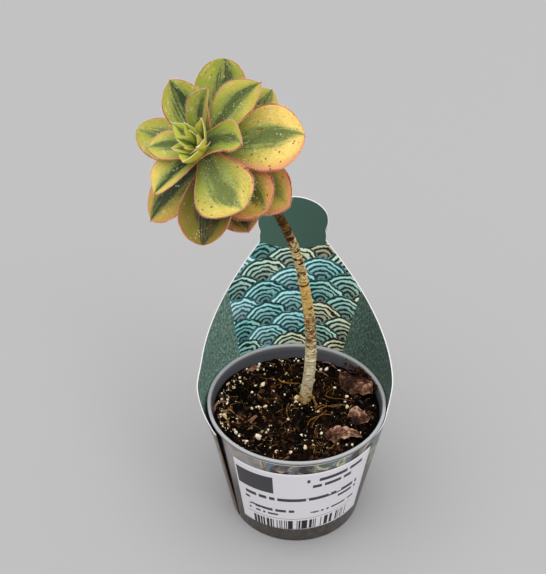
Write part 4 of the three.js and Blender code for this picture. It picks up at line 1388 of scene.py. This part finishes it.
def card_inside():
    """Coated card, printed inside: a narrowing panel of fans, and a plain field and head."""
    material, add = new_material("coated_card_inside_print")
    place = add("Attribute", {"attribute_name": "print_place"}).outputs["Vector"]
    parts = add("SeparateXYZ", inputs={0: place})
    across, up = parts.outputs[0], parts.outputs[1]
    picture = fan_print(add, place)
    field = plain_print(add, place)
    # The panel narrows towards the pot
    left = add("Math", MULTIPLY_ADD, {0: up, 1: LEFT_LEAN, 2: across})
    left = add("Math", GREATER_THAN, {0: left, 1: PANEL_LEFT})
    right = add("Math", MULTIPLY_ADD, {0: up, 1: RIGHT_LEAN, 2: across})
    right = add("Math", LESS_THAN, {0: right, 1: PANEL_RIGHT})
    in_panel = add("Math", MULTIPLY, {0: left, 1: right})
    # An arc closes the panel under the head
    squared = add("Math", MULTIPLY, {0: across, 1: across})
    arc = add("Math", MULTIPLY_ADD, {0: squared, 1: TOP_ARCH, 2: up})
    below = add("Math", LESS_THAN, {0: arc, 1: PANEL_TOP})
    shown = add("Math", MULTIPLY, {0: in_panel, 1: below})
    above = add("Math", SUBTRACT, {0: 1.0, 1: below})
    weave = add("TexNoise", inputs={"Vector": place, "Scale": 1.6, "Detail": 2.0})
    head = add("Mix", RGBA, {0: weave, 6: colour("#3e6053"), 7: colour("#4f7668")})
    field = add("Mix", RGBA, {0: above, 6: field, 7: head})
    # The field grows darker from the left wing to the right
    side = add("MapRange", inputs={
        "Value": across, "From Min": -30.0, "From Max": 45.0, "To Min": 1.0, "To Max": 0.45})
    field = add("VectorMath", SCALE, {0: field, "Scale": side})
    print_colour = add("Mix", RGBA, {0: shown, 6: field, 7: picture})
    print_colour = with_border(add, print_colour)
    close_material(add, {"Base Color": print_colour, "Roughness": 0.45, "Specular IOR Level": 0.35})
    return material


def card_outside():
    """Coated card, printed outside: a blotchy print on top, warm dark grey below."""
    material, add = new_material("coated_card_outside_print")
    place = add("Attribute", {"attribute_name": "print_place"}).outputs["Vector"]
    parts = add("SeparateXYZ", inputs={0: place})
    picture = blotch_print(add, place)
    streak_place = add("Mapping", inputs={
        "Vector": place, "Scale": (0.3, 0.16, 1), "Rotation": (0, 0, 0.9)})
    streaks = add("TexNoise", inputs={
        "Vector": streak_place, "Scale": 1.0, "Detail": 5.0, "Roughness": 0.7})
    grey = add("MapRange", inputs={"Value": streaks, "From Min": 0.35, "From Max": 0.7})
    ground = add("Mix", RGBA, {0: grey, 6: colour("#26221f"), 7: colour("#5a524b")})
    fade = add("MapRange", SMOOTHSTEP, {"Value": parts.outputs[1], "From Min": 30.0, "From Max": 62.0})
    # The front's left end is printed paler, a warm light grey
    left = add("MapRange", SMOOTHSTEP, {
        "Value": parts.outputs[0], "From Min": 166.0, "From Max": 196.0, "To Max": 0.6})
    picture = add("Mix", RGBA, {0: left, 6: picture, 7: colour("#b0a8a4")})
    print_colour = add("Mix", RGBA, {0: fade, 6: ground, 7: picture})
    print_colour = with_border(add, print_colour)
    close_material(add, {"Base Color": print_colour, "Roughness": 0.3, "Specular IOR Level": 0.5})
    return material


def bare_card(name, dark, light):
    """The card's cut edge, where the pulp shows between its printed faces."""
    material, add = new_material(name)
    place = add("TexCoord").outputs["Object"]
    fibre = add("TexNoise", inputs={"Vector": place, "Scale": 900.0, "Detail": 2.0})
    pulp = add("Mix", RGBA, {0: fibre, 6: colour(dark), 7: colour(light)})
    close_material(add, {"Base Color": pulp, "Roughness": 0.8})
    return material


SLEEVE_SKINS = [card_inside(), card_outside(), bare_card("bare_white_pulp", "#f1efec", "#fbfaf9"),
                bare_card("bare_kraft_pulp", "#6e4a2c", "#94683f")]
finish_piece("card_sleeve", sleeve, SLEEVE_SKINS, "card_print", "sleeve")

# %% [markdown]
# The sticker in front is a plain sheet of white paper that follows the sleeve. It is a flat grid, bent
# round the pot's axis and then given its thickness. Its print is plain too: a dark block, thin
# broken rules, a brown rule and a row of upright bars.

# %% Sheet of the sticker
LABEL_FROM = -46.0
LABEL_TO = 54.0
LABEL_BOTTOM = 13.5
LABEL_TOP = 68.0
LABEL_TILT = 0.03
LABEL_THICKNESS = 0.4
LABEL_COLUMNS = 96
LABEL_ROWS = 40

label = bmesh.new()
label_place = label.verts.layers.float_vector.new("label_place")
made = bmesh.ops.create_grid(label, x_segments=LABEL_COLUMNS, y_segments=LABEL_ROWS, size=0.5)
for vert in made["verts"]:
    angle = mix(LABEL_FROM, LABEL_TO, vert.co.x + 0.5)
    z = mix(LABEL_BOTTOM, LABEL_TOP, vert.co.y + 0.5) + LABEL_TILT * angle
    radius = card_radius(180 - angle, z) + CARD_THICKNESS + GAP
    vert[label_place] = (angle, z, 0)
    at = math.radians(angle)
    vert.co = Vector((radius * math.sin(at), -radius * math.cos(at), z))
bmesh.ops.recalc_face_normals(label, faces=label.faces)
facing = sum(face.normal.dot(face.calc_center_median().xy.to_3d()) > 0 for face in label.faces)
if facing > len(label.faces) / 2:
    bmesh.ops.reverse_faces(label, faces=label.faces)
bmesh.ops.solidify(label, geom=list(label.faces), thickness=LABEL_THICKNESS)
bmesh.ops.recalc_face_normals(label, faces=label.faces)
print("sticker faces:", len(label.faces))

# %% [markdown]
# Everything printed on the sticker is a box in its own measures, degrees across and millimetres up,
# so one function gives them all. One draw for each dash or bar breaks up the rules and the bars.

# %% Print of the sticker


def in_box(add, across, up, left, right, low, high):
    """1 inside a box on the sticker, in degrees across and millimetres up, and 0 outside."""
    masks = []
    for value, limit, operation in (
        (across, left, "GREATER_THAN"), (across, right, "LESS_THAN"),
        (up, low, "GREATER_THAN"), (up, high, "LESS_THAN"),
    ):
        masks.append(add("Math", {"operation": operation}, {0: value, 1: limit}))
    first = add("Math", MULTIPLY, {0: masks[0], 1: masks[1]})
    second = add("Math", MULTIPLY, {0: masks[2], 1: masks[3]})
    return add("Math", MULTIPLY, {0: first, 1: second})


# Left, right, low and high sides of the thin rules
LABEL_RULES = [
    (6, 47, 59.6, 62.4), (9, 38, 54.2, 56.8), (-39, 47, 42.1, 44.9), (-40, -33, 37.4, 39.4),
    (30, 46, 37.8, 40.0), (-38, -2, 31.2, 33.6), (-38, -14, 27.4, 29.1), (10, 46, 28.8, 30.4),
]
# Shares of the dashes and of the bars that stay white, and how many bars fit in a degree
DASH_GAPS = 0.22
BAR_GAPS = 0.44
BARS_PER_DEGREE = 1.35


def label_paper():
    """White paper sticker, printed with plain blocks, rules and bars."""
    material, add = new_material("white_label_paper")
    place = add("Attribute", {"attribute_name": "label_place"}).outputs["Vector"]
    parts = add("SeparateXYZ", inputs={0: place})
    across = parts.outputs[0]
    up = add("Math", MULTIPLY_ADD, {0: across, 1: -0.06, 2: parts.outputs[1]})
    fibre = add("TexNoise", inputs={"Vector": place, "Scale": 1.2, "Detail": 4.0})
    paper = add("Mix", RGBA, {0: fibre, 6: colour("#dfdce0"), 7: colour("#f0eef2")})
    block = in_box(add, across, up, -44.5, -16.5, 48.8, 64.0)
    paper = add("Mix", RGBA, {0: block, 6: paper, 7: colour("#3b3a3e")})
    # The rules are broken into dashes two degrees long by one draw for each dash
    dash = add("Mapping", inputs={"Vector": place, "Scale": (0.5, 0.2, 0)})
    dash = add("VectorMath", FLOOR, {0: dash})
    dash = add("TexWhiteNoise", {"noise_dimensions": "2D"}, {"Vector": dash})
    dash = add("Math", GREATER_THAN, {0: dash.outputs["Value"], 1: DASH_GAPS})
    for left, right, low, high in LABEL_RULES:
        rule = in_box(add, across, up, left, right, low, high)
        rule = add("Math", MULTIPLY, {0: rule, 1: dash})
        paper = add("Mix", RGBA, {0: rule, 6: paper, 7: colour("#39383d")})
    brown = in_box(add, across, up, -40, 46, 24.2, 24.6)
    paper = add("Mix", RGBA, {0: brown, 6: paper, 7: colour("#8d6a45")})
    bar = add("Math", MULTIPLY, {0: across, 1: BARS_PER_DEGREE})
    bar = add("Math", FLOOR, {0: bar})
    bar = add("TexWhiteNoise", {"noise_dimensions": "1D"}, {"W": bar})
    bar = add("Math", GREATER_THAN, {0: bar.outputs["Value"], 1: BAR_GAPS})
    bars = in_box(add, across, up, -35, 41, 13.9, 22.6)
    bars = add("Math", MULTIPLY, {0: bars, 1: bar})
    paper = add("Mix", RGBA, {0: bars, 6: paper, 7: colour("#1a1819")})
    close_material(add, {"Base Color": paper, "Roughness": 0.45, "Specular IOR Level": 0.4})
    return material


finish_piece("label_sticker", label, [label_paper()], "label_paper", "label")

# %% [markdown]
# Potting soil is what a bag of it holds: black-brown peat crumbs of all sizes, orange-brown fibres,
# bits of bark and white perlite. The ground under them is one displaced surface. The crumbs, grains
# and fibres lie on it as small separate meshes, placed by a seeded draw.

# %% Soil surface
SOIL_LEVEL = 66.5
SOIL_HEAP = 6.5
SOIL_BANK = 3.6
SOIL_SLICES = 300
SOIL_RINGS = 130
SOIL_WALL_RINGS = 4
SOIL_RADIUS = pot_radius(SOIL_LEVEL) - POT_WALL - GAP


def soil_height(x, y):
    """Height of the soil, as in the model: banked up to the wall and heaped on the right."""
    rightness = smooth_step(18, 46, x - 0.15 * y)
    heap = SOIL_HEAP * rightness + SOIL_BANK * (1 - rightness) * smooth_step(20, 46, math.hypot(x, y))
    slope = 1.6 * smooth_step(10, -40, y) + 2 * smooth_step(-20, -46, x)
    mound = 1.2 * math.exp(-((x - 6) ** 2 + (y - 12) ** 2) / 160)
    lumps = 0.9 * math.sin(x * 0.31 + 1.3) * math.cos(y * 0.27) + 0.5 * math.sin(x * 0.83 - y * 0.59)
    edge = 1 - smooth_step(40, 50, math.hypot(x, y))
    return SOIL_LEVEL + heap + slope + mound + lumps * (0.4 + 0.6 * edge)


def rough_soil_height(x, y):
    """The same height with crumbly detail, from 5 mm clods down to half a millimetre."""
    rough = 1.5 * roughness_of((x, y, 0), 5.0) + 1.3 * abs(roughness_of((x, y, 5), 2.6)) - 0.3
    return soil_height(x, y) + rough + 0.6 * roughness_of((x, y, 9), 1.1)


def soil_place(vert, turn, ring):
    """Place on the soil's closed skin: floor, wall, then in over the top to the middle."""
    last = SOIL_WALL_RINGS + SOIL_RINGS
    at = 2 * math.pi * turn
    if ring == 0:
        return Vector((0, 0, POT_FLOOR + GAP))
    if ring <= SOIL_WALL_RINGS:
        share = (ring - 1) / (SOIL_WALL_RINGS - 1)
        rim = min(soil_height(SOIL_RADIUS * math.cos(at), SOIL_RADIUS * math.sin(at)), LIP_UNDERSIDE - 2)
        z = mix(POT_FLOOR + GAP, rim, share)
        radius = pot_radius(z) - POT_WALL - GAP
        return Vector((radius * math.cos(at), radius * math.sin(at), z))
    radius = SOIL_RADIUS * (last - ring) / SOIL_RINGS
    x, y = radius * math.cos(at), radius * math.sin(at)
    return Vector((x, y, rough_soil_height(x, y)))


# %% [markdown]
# Damp peat is nearly black and hardly shines, with a dust of brown fibre. A crumb may carry a tone of
# its own, which makes it browner.

# %% Peat


def peat_skin(name, dark, light):
    """Moist peat: dark humus with brown fibre dust; each crumb's own tone may make it browner."""
    material, add = new_material(name)
    place = add("TexCoord").outputs["Object"]
    crumbs = add("TexNoise", inputs={"Vector": place, "Scale": 420.0, "Detail": 6.0, "Roughness": 0.7})
    lumps = add("TexNoise", inputs={"Vector": place, "Scale": 90.0, "Detail": 3.0})
    share = add("Math", MULTIPLY, {0: crumbs, 1: lumps})
    share = add("MapRange", SMOOTHSTEP, {"Value": share, "From Min": 0.2, "From Max": 0.42})
    peat = add("Mix", RGBA, {0: share, 6: colour(dark), 7: colour(light)})
    drawn = add("Attribute", {"attribute_name": "tone"})
    peat = add("Mix", RGBA, {0: drawn.outputs["Fac"], 6: peat, 7: colour("#7a4a28")})
    gloss = add("MapRange", inputs={
        "Value": crumbs, "From Min": 0.35, "From Max": 0.7, "To Min": 0.6, "To Max": 0.95})
    relief = add("Bump", inputs={"Strength": 0.9, "Distance": 0.0007, "Height": crumbs})
    close_material(add, {
        "Base Color": peat, "Roughness": gloss, "Normal": relief, "Specular IOR Level": 0.05})
    return material


SOIL_SKIN = peat_skin("damp_peat", "#030201", "#1a0e05")
soil = bmesh.new()
closed_skin(soil, SOIL_SLICES, SOIL_WALL_RINGS + SOIL_RINGS, soil_place)
finish_piece("peat_surface", soil, [SOIL_SKIN], "soil_peat", "soil")

# %% [markdown]
# A crumb is a small icosphere with each corner pushed in or out a little. Making one costs the same
# whatever its size, so a few dozen shapes are made once and copied, turned and scaled.

# %% Crumbs


def lump_shapes(draw, count, level, uneven):
    """A few uneven lumps as mesh data, to be copied into a bmesh many times."""
    shapes = []
    for index in range(count):
        lump = bmesh.new()
        bmesh.ops.create_icosphere(lump, subdivisions=level, radius=1.0)
        for vert in lump.verts:
            vert.co *= 1 + uneven * draw.uniform(-1, 1)
        data = bpy.data.meshes.new(f"lump_{index}")
        lump.to_mesh(data)
        lump.free()
        shapes.append(data)
    return shapes


def tone_layer(mesh):
    """The attribute for the tone of each crumb or fibre, made when it is first asked for."""
    return mesh.verts.layers.float.get("tone") or mesh.verts.layers.float.new("tone")


def add_lump(mesh, shape, place, size, draw, flat=0.75, tone=0.0):
    """Copies one lump to a place, turned at random; size is its half width in mm."""
    tones = tone_layer(mesh)
    mesh.verts.index_update()
    before = len(mesh.verts)
    mesh.from_mesh(shape)
    mesh.verts.ensure_lookup_table()
    angle = draw.uniform(0, 6.28)
    axis = (draw.uniform(-1, 1), draw.uniform(-1, 1), 1.0)
    spread = (draw.uniform(0.7, 1.3), draw.uniform(0.7, 1.2), flat)
    stretch = Matrix.Diagonal((*(size * share for share in spread), 1))
    matrix = Matrix.Translation(place) @ Matrix.Rotation(angle, 4, axis) @ stretch
    for index in range(before, len(mesh.verts)):
        mesh.verts[index].co = matrix @ mesh.verts[index].co
        mesh.verts[index][tones] = tone


SOIL_SPREAD = 47.5
STEM_AT = (5.9, 12)
STEM_CLEAR = 4.6


def soil_spot(draw, outer=SOIL_SPREAD):
    """A place on the soil, evenly spread, that keeps clear of the stem."""
    while True:
        radius, at = outer * math.sqrt(draw.random()), draw.uniform(0, 2 * math.pi)
        x, y = radius * math.cos(at), radius * math.sin(at)
        if math.hypot(x - STEM_AT[0], y - STEM_AT[1]) > STEM_CLEAR:
            return x, y


CRUMB_COUNT = 3000
LAST_CLOD = 260
SPILLED_COUNT = 170
BROWN_SHARE = 0.16

draw = random.Random(21)
crumb_shapes = lump_shapes(draw, count=24, level=1, uneven=0.28)
clod_shapes = lump_shapes(draw, count=12, level=2, uneven=0.22)
crumbs = bmesh.new()
for index in range(CRUMB_COUNT):
    x, y = soil_spot(draw)
    small = index > LAST_CLOD
    size = 0.3 + 0.8 * draw.random() ** 2 if small else draw.uniform(1.1, 2.2)
    shape = draw.choice(crumb_shapes if small else clod_shapes)
    tone = draw.uniform(0.2, 0.9) if small and draw.random() < BROWN_SHARE else 0.0
    add_lump(crumbs, shape, (x, y, rough_soil_height(x, y) + 0.2 * size), size, draw, tone=tone)
# Some soil was spilled on the right and clings to the pot's wall up to its lip
for _ in range(SPILLED_COUNT):
    at = draw.gauss(math.radians(30), math.radians(9))
    z = draw.uniform(71.5, 78.4)
    size = 0.25 + 1.0 * draw.random() ** 2
    radius = pot_radius(z) - POT_WALL - 0.5 * size
    place = (radius * math.cos(at), radius * math.sin(at), z)
    add_lump(crumbs, draw.choice(crumb_shapes), place, size, draw, tone=draw.uniform(0.0, 0.4))
CRUMB_SKIN = peat_skin("peat_crumb", "#040302", "#2e180a")
finish_piece("peat_crumbs", crumbs, [CRUMB_SKIN], "soil_peat", smooth=False)

# %% [markdown]
# Perlite is volcanic glass, blown up to chalky blocks. The larger grains stand in their own places,
# and a seeded draw strews the small bits, nearly half of them along the pot's left wall.

# %% Perlite
# Places across and back, and half widths, of the grains that the photograph shows plainly
PERLITE_SEEN = [
    (-24.7, 22.1, 1.5), (-20.6, 22.1, 1.7), (-18.3, 5.5, 2.0), (-22.6, 5.2, 1.3), (-5.0, -5.1, 1.5),
    (-22.8, -25.4, 2.1), (3.5, 23.1, 1.2), (0.6, 13.6, 1.9), (0.0, 8.4, 1.5), (13.3, 1.9, 1.2),
    (31.1, 9.8, 1.2), (30.8, 1.7, 1.2), (19.8, 36.6, 1.7), (16.5, 37.2, 1.3), (9.5, 34.5, 1.4),
    (-2.5, 5.6, 1.3), (14.3, -18.5, 1.3), (5.4, -20.4, 1.2), (2.6, -20.4, 1.0), (4.4, -31.5, 1.4),
    (-12.0, -36.5, 1.3), (-4.0, -37.6, 1.2), (12.0, -45.0, 1.3), (-35.5, -23.0, 1.5), (-42.5, -9.0, 1.5),
]


def perlite_skin(name, pale, cream):
    """Expanded volcanic glass: chalk white with a creamy stain and tiny pits."""
    material, add = new_material(name)
    place = add("TexCoord").outputs["Object"]
    pits = add("TexNoise", inputs={"Vector": place, "Scale": 900.0, "Detail": 4.0})
    stain = add("TexNoise", inputs={"Vector": place, "Scale": 260.0})
    share = add("MapRange", inputs={"Value": stain, "From Min": 0.4, "From Max": 0.65})
    chalk = add("Mix", RGBA, {0: share, 6: colour(pale), 7: colour(cream)})
    relief = add("Bump", inputs={"Strength": 0.5, "Distance": 0.0003, "Height": pits})
    close_material(add, {"Base Color": chalk, "Roughness": 0.85, "Normal": relief})
    return material


BIT_COUNT = 420
WALL_SHARE = 0.45
grain_shapes = lump_shapes(draw, count=16, level=1, uneven=0.32)
bit_shapes = lump_shapes(draw, count=12, level=1, uneven=0.35)
grains = bmesh.new()
for x, y, size in PERLITE_SEEN:
    place = (x, y, rough_soil_height(x, y) + 0.4 * size)
    add_lump(grains, draw.choice(grain_shapes), place, size, draw, flat=0.8)
for _ in range(BIT_COUNT):
    x, y = soil_spot(draw)
    if draw.random() < WALL_SHARE:
        at = draw.gauss(math.radians(160), 0.7)
        radius = draw.uniform(41.5, 47.8)
        x, y = radius * math.cos(at), radius * math.sin(at)
    size = 0.24 + 0.75 * draw.random() ** 3.5
    place = (x, y, rough_soil_height(x, y) + 0.6 * size)
    add_lump(grains, draw.choice(bit_shapes), place, size, draw, flat=0.85)
PERLITE_SKIN = perlite_skin("expanded_perlite", "#fdf6e0", "#e8c880")
finish_piece("perlite_grains", grains, [PERLITE_SKIN], "soil_peat", smooth=False)

# %% [markdown]
# Fibres and roots are thin strands that follow the soil. Hundreds of fibres are needed, so each has
# four sides only, while the few golden roots have more.

# %% Fibres
FIBRE_RISE = 1.0


def add_fibre(mesh, draw, x, y, length, radius, tone):
    """A thin curved fibre that lies on the soil and follows it."""
    tones = tone_layer(mesh)
    heading = draw.uniform(0, 2 * math.pi)
    points = []
    for _ in range(5):
        points.append((x, y, soil_height(x, y) + FIBRE_RISE + 0.6 * draw.random()))
        heading += draw.uniform(-0.7, 0.7)
        x += length / 4 * math.cos(heading)
        y += length / 4 * math.sin(heading)
        if math.hypot(x, y) > SOIL_SPREAD:
            break
    if len(points) > 2:
        for vert in add_strand(mesh, points, radius, columns=4, rings=8, taper=0.5):
            vert[tones] = tone


def fibre_skin(name, dark, light, scale):
    """Dry plant fibre, uneven in colour; a strand's own tone may make it straw pale."""
    material, add = new_material(name)
    place = add("TexCoord").outputs["Object"]
    tone = add("TexNoise", inputs={"Vector": place, "Scale": scale, "Detail": 4.0, "Roughness": 0.7})
    share = add("MapRange", inputs={"Value": tone, "From Min": 0.35, "From Max": 0.65})
    fibre = add("Mix", RGBA, {0: share, 6: colour(dark), 7: colour(light)})
    drawn = add("Attribute", {"attribute_name": "tone"})
    fibre = add("Mix", RGBA, {0: drawn.outputs["Fac"], 6: fibre, 7: colour("#d8a860")})
    relief = add("Bump", inputs={"Strength": 0.5, "Distance": 0.0003, "Height": tone})
    close_material(add, {
        "Base Color": fibre, "Roughness": 0.7, "Normal": relief, "Specular IOR Level": 0.2})
    return material


FIBRE_COUNT = 640
FIBRE_TONES = (0.0, 0.0, 0.0, 0.0, 0.1, 0.2, 0.3, 0.5, 0.9)
draw = random.Random(33)
fibres = bmesh.new()
for _ in range(FIBRE_COUNT):
    x, y = soil_spot(draw)
    tone = draw.choice(FIBRE_TONES)
    length, radius = draw.uniform(2, 9), draw.uniform(0.06, 0.16)
    add_fibre(fibres, draw, x, y, length, radius, tone)
FIBRE_SKIN = fibre_skin("peat_fibre", "#1d0f06", "#4d2c11", 90.0)
finish_piece("peat_fibres", fibres, [FIBRE_SKIN], "soil_peat")

# %% [markdown]
# The fine golden roots run where they show in the photograph. One loops out of the soil behind the
# stem. Chips of bark are lumps pressed flat.

# %% Roots and chips
ROOT_LINES = [
    [(17.3, 12.7, 70.5), (21.5, 10, 70.5), (28.1, 8.5, 71), (33.9, 5.5, 72)],
    [(10.7, -0.3, 70), (15.7, 3.6, 70.5), (21.7, 2.4, 70), (27.2, 3.6, 70.5), (31.9, 2.6, 71)],
    [(11, -2, 69.4), (16, 2, 69.8), (22, 4, 70), (28, 5, 70.2)],
    [(6.1, -13.7, 69.5), (8.6, -8.2, 70), (12.9, -5.6, 70)],
    [(9, -14, 69.4), (11, -9, 69.6), (15, -4, 69.8), (19, 0, 69.6)],
    [(8, -9, 69.2), (12, -6, 69.6), (17, -4, 69.8), (22, -4.5, 69.9)],
    [(-4, 8, 68.8), (-6, 1, 68.8), (-5, -5, 68.9), (-3, -10, 69)],
]
roots = bmesh.new()
for points in ROOT_LINES:
    add_strand(roots, points, radius=0.18, columns=6, rings=16, taper=0.5)
LOOP_ROOT = ((-8, 34, 68), (-10.5, 30, 69), (-8.5, 26.5, 69.4), (-3, 25.5, 69), (2, 26, 68.4))
add_strand(roots, LOOP_ROOT, radius=0.55, columns=8, rings=24, taper=0.3)
ROOT_SKIN = fibre_skin("root_skin", "#6a4216", "#bf8a3c", 150.0)
finish_piece("fine_roots", roots, [ROOT_SKIN], "soil_peat")

CHIP_COUNT = 110
chips = bmesh.new()
for _ in range(CHIP_COUNT):
    x, y = soil_spot(draw, SOIL_SPREAD - 1)
    size = draw.uniform(0.8, 2.2)
    place = (x, y, rough_soil_height(x, y) + 0.4)
    add_lump(chips, draw.choice(crumb_shapes), place, size, draw, flat=0.3)
CHIP_SKIN = fibre_skin("bark_chip", "#1c0e07", "#4f2c1b", 200.0)
finish_piece("bark_chips", chips, [CHIP_SKIN], "soil_peat", smooth=False)

# %% [markdown]
# Some scraps of plant lie on top: curled bits of dead leaf at the pot's left rim, a flake or two and
# a thin dark twig. Each is a flat strand along a short curve, in the colour of what it is.

# %% Scraps
# Points of the line, half width, thickness share, taper, and 0 for dead leaf or 1 for twig
SCRAPS = [
    ([(-48.6, -6.3, 71.6), (-49.2, -1.6, 72.4), (-47.6, 2.6, 73), (-44, 4, 73.2), (-40.6, 2.4, 72.6),
      (-39, -2.3, 71.6)], 0.9, 0.45, 0.5, 0),
    ([(-45.8, -13.6, 72.2), (-40.6, -12.8, 72), (-34.7, -13.5, 71.6), (-29.5, -11.7, 70.8)],
     0.8, 0.5, 0.4, 0),
    ([(-44.6, -4.3, 72), (-40.4, -2.5, 72.4), (-36.1, -6.7, 71.6), (-31.3, -10.4, 71)], 0.6, 0.5, 0.5, 0),
    ([(-28.3, -11.6, 70.4), (-26, -9, 71.2), (-23.6, -6.1, 71)], 1.5, 0.2, 0.5, 0),
    ([(29.2, 16.2, 72.2), (36, 8.8, 72.6), (42.6, -2.5, 73.2)], 0.75, 0.8, 0.1, 1),
    ([(33.3, -11.2, 72.6), (33.1, -5.3, 73.6), (35.7, -2.4, 74)], 0.5, 0.5, 0.4, 0),
    ([(36, -14.6, 72.6), (38.8, -8.8, 73.8), (41.6, -3.6, 73.8)], 0.45, 0.5, 0.4, 0),
    ([(17.5, 44, 71), (22.5, 41.4, 72), (26.1, 36.6, 71.4)], 1.3, 0.25, 0.5, 0),
    ([(-29.3, 33, 71.4), (-27, 36, 72.6), (-24.4, 38.6, 72.4)], 2.2, 0.3, 0.4, 0),
    ([(14, 36, 70.4), (18, 33, 71), (21, 30, 70.6)], 0.7, 0.4, 0.4, 0),
]
scraps = bmesh.new()
for points, radius, flat, taper, kind in SCRAPS:
    for vert in add_strand(scraps, points, radius, columns=8, rings=20, taper=taper, flat=flat):
        vert.co += Vector((0, 0, 0.35 * roughness_of(vert.co, 1.6)))
        for face in vert.link_faces:
            face.material_index = kind
SCRAP_SKINS = [fibre_skin("dead_leaf_scrap", "#4a2a1c", "#a57a60", 260.0),
               fibre_skin("dark_twig", "#161413", "#35302c", 160.0)]
finish_piece("leaf_scraps", scraps, SCRAP_SKINS, "soil_peat")

# %% [markdown]
# Three dead leaves lie on the soil, dried to crumpled brown paper. Each follows its solid's place,
# with sharper folds and a ragged margin that turns up a little.

# %% Sizes and folds of the dry leaves
# A fold is a line across the leaf: its turn from the midrib, its offset and the slope beside it.
# Tone is how much paler the leaf is.
DRY_LEAVES = [
    dict(x=36.9, y=17.6, heading=-52, length=30, width=16, rise=5.6, tone=-0.12,
         folds=[(8, 1.5, -0.5), (62, -4, 0.42), (118, 5, -0.4), (35, 9, 0.3), (150, -6, -0.25)]),
    dict(x=37, y=-12, heading=-62, length=17, width=10, rise=4.4, tone=0.12,
         folds=[(15, -0.5, -0.5), (80, 2.5, 0.4), (130, -3, -0.4), (50, -5, 0.3)]),
    dict(x=26.2, y=-26.8, heading=-22, length=23, width=13, rise=5.2, tone=0.28,
         folds=[(-12, 1, 0.45), (70, 3, -0.45), (110, -5, 0.4), (40, -3, -0.35), (160, 4, 0.25)]),
]
# Widths of the two ragged sides at even steps along the leaf, in shares of its half width
DRY_OUTLINES = [
    [0, 0.62, 1.15, 0.85, 1.12, 0.75, 0.92, 0.42, 0],
    [0, 0.42, 0.72, 1.02, 0.66, 1.06, 0.6, 0.52, 0],
]
DRY_THICKNESS = 0.5
DRY_CLEARANCE = 0.5


def along_knots(knots, share):
    """A value on straight lines between knots that are evenly spread from 0 to 1."""
    place = min(share * (len(knots) - 1), len(knots) - 1.001)
    return mix(knots[int(place)], knots[int(place) + 1], place - int(place))


def folded(folds, forward, across):
    """Height of a sheet with straight folds, before it is fitted to the leaf's rise."""
    height = 0.0
    for turn, offset, slope in folds:
        turn = math.radians(turn)
        height += slope * abs(across * math.cos(turn) + forward * math.sin(turn) - offset)
    return height


# %% [markdown]
# A dead leaf is thin and brittle. Its folds get painted shade and its ridges a painted highlight, and its
# margins are paler, so the height of the folds goes with the mesh and drives a ramp of browns.

# %% Skin and pieces of the dry leaves


def dry_leaf_skin():
    """Dead leaf: brittle brown skin, painted shade in folds, painted highlights on ridges, pale margins.
    """
    material, add = new_material("dry_leaf_skin")
    place = add("TexCoord").outputs["Object"]
    crease = add("Attribute", {"attribute_name": "crease"})
    tone = add("TexNoise", inputs={"Vector": place, "Scale": 330.0, "Detail": 6.0, "Roughness": 0.75})
    share = add("Math", MULTIPLY_ADD, {0: crease.outputs["Fac"], 1: 0.6, 2: tone})
    share = add("MapRange", inputs={"Value": share, "From Min": 0.52, "From Max": 1.3})
    # From painted shade in the folds, near black, to a painted highlight on the ridges
    skin = ramp_of(add, share, [
        (0.0, "#0a0502"), (0.35, "#361b0f"), (0.65, "#6f4934"), (1.0, "#caa288")])
    relief = add("Bump", inputs={"Strength": 0.9, "Distance": 0.0008, "Height": tone})
    close_material(add, {
        "Base Color": skin, "Roughness": 0.5, "Normal": relief, "Specular IOR Level": 0.15})
    return material


DRY_SKIN = dry_leaf_skin()
DRY_COLUMNS, DRY_RINGS = 64, 96
for number, leaf in enumerate(DRY_LEAVES, start=1):
    dry = bmesh.new()
    crease = dry.verts.layers.float.new("crease")
    heading = math.radians(leaf["heading"])
    # Heights on a grid of 12 by 10 places give the range that the leaf's rise is spread over
    samples = []
    for column in range(12):
        for row in range(10):
            forward = (column / 11 - 0.5) * leaf["length"] * 0.9
            across = (row / 9 - 0.5) * leaf["width"] * 0.8
            samples.append(folded(leaf["folds"], forward, across))
    lowest, highest = min(samples), max(samples)

    def dry_place(vert, turn, ring):
        along = ring / DRY_RINGS
        at = 2 * math.pi * turn
        knots = DRY_OUTLINES[(math.cos(at) > 0) == (number % 2 == 0)]
        torn = 0.1 * roughness_of((9 * along, 2 * math.copysign(1, math.cos(at)), number), 0.5)
        half = 0.5 * leaf["width"] * (along_knots(knots, along) + torn * math.sin(math.pi * along))
        across = half * math.cos(at)
        forward = (along - 0.5) * leaf["length"]
        x = leaf["x"] + forward * math.cos(heading) - across * math.sin(heading)
        y = leaf["y"] + forward * math.sin(heading) + across * math.cos(heading)
        share = (folded(leaf["folds"], forward, across) - lowest) / (highest - lowest)
        share = max(-0.1, min(1.1, share))
        fine = roughness_of((x, y, 3 * number), 1.8)
        margin = abs(math.cos(at)) ** 8
        # Painted shade low in the folds, painted highlight on the ridges, plus tone, noise and pale
        # margin
        vert[crease] = leaf["tone"] + 1.05 * share + 0.5 * fine + 0.4 * margin
        sine = math.sin(at)
        skin = 0.5 * DRY_THICKNESS * math.copysign(abs(sine) ** 0.5, sine)
        if ring in (0, DRY_RINGS):
            skin = 0.0
        lift = leaf["rise"] * share + 0.6 * fine + 0.5 * margin
        return Vector((x, y, soil_height(x, y) + DRY_CLEARANCE + lift + skin))

    closed_skin(dry, DRY_COLUMNS, DRY_RINGS, dry_place)
    finish_piece(f"dry_leaf_{number}_skin", dry, [DRY_SKIN], "dry_leaf_skin", f"dry_leaf_{number}")
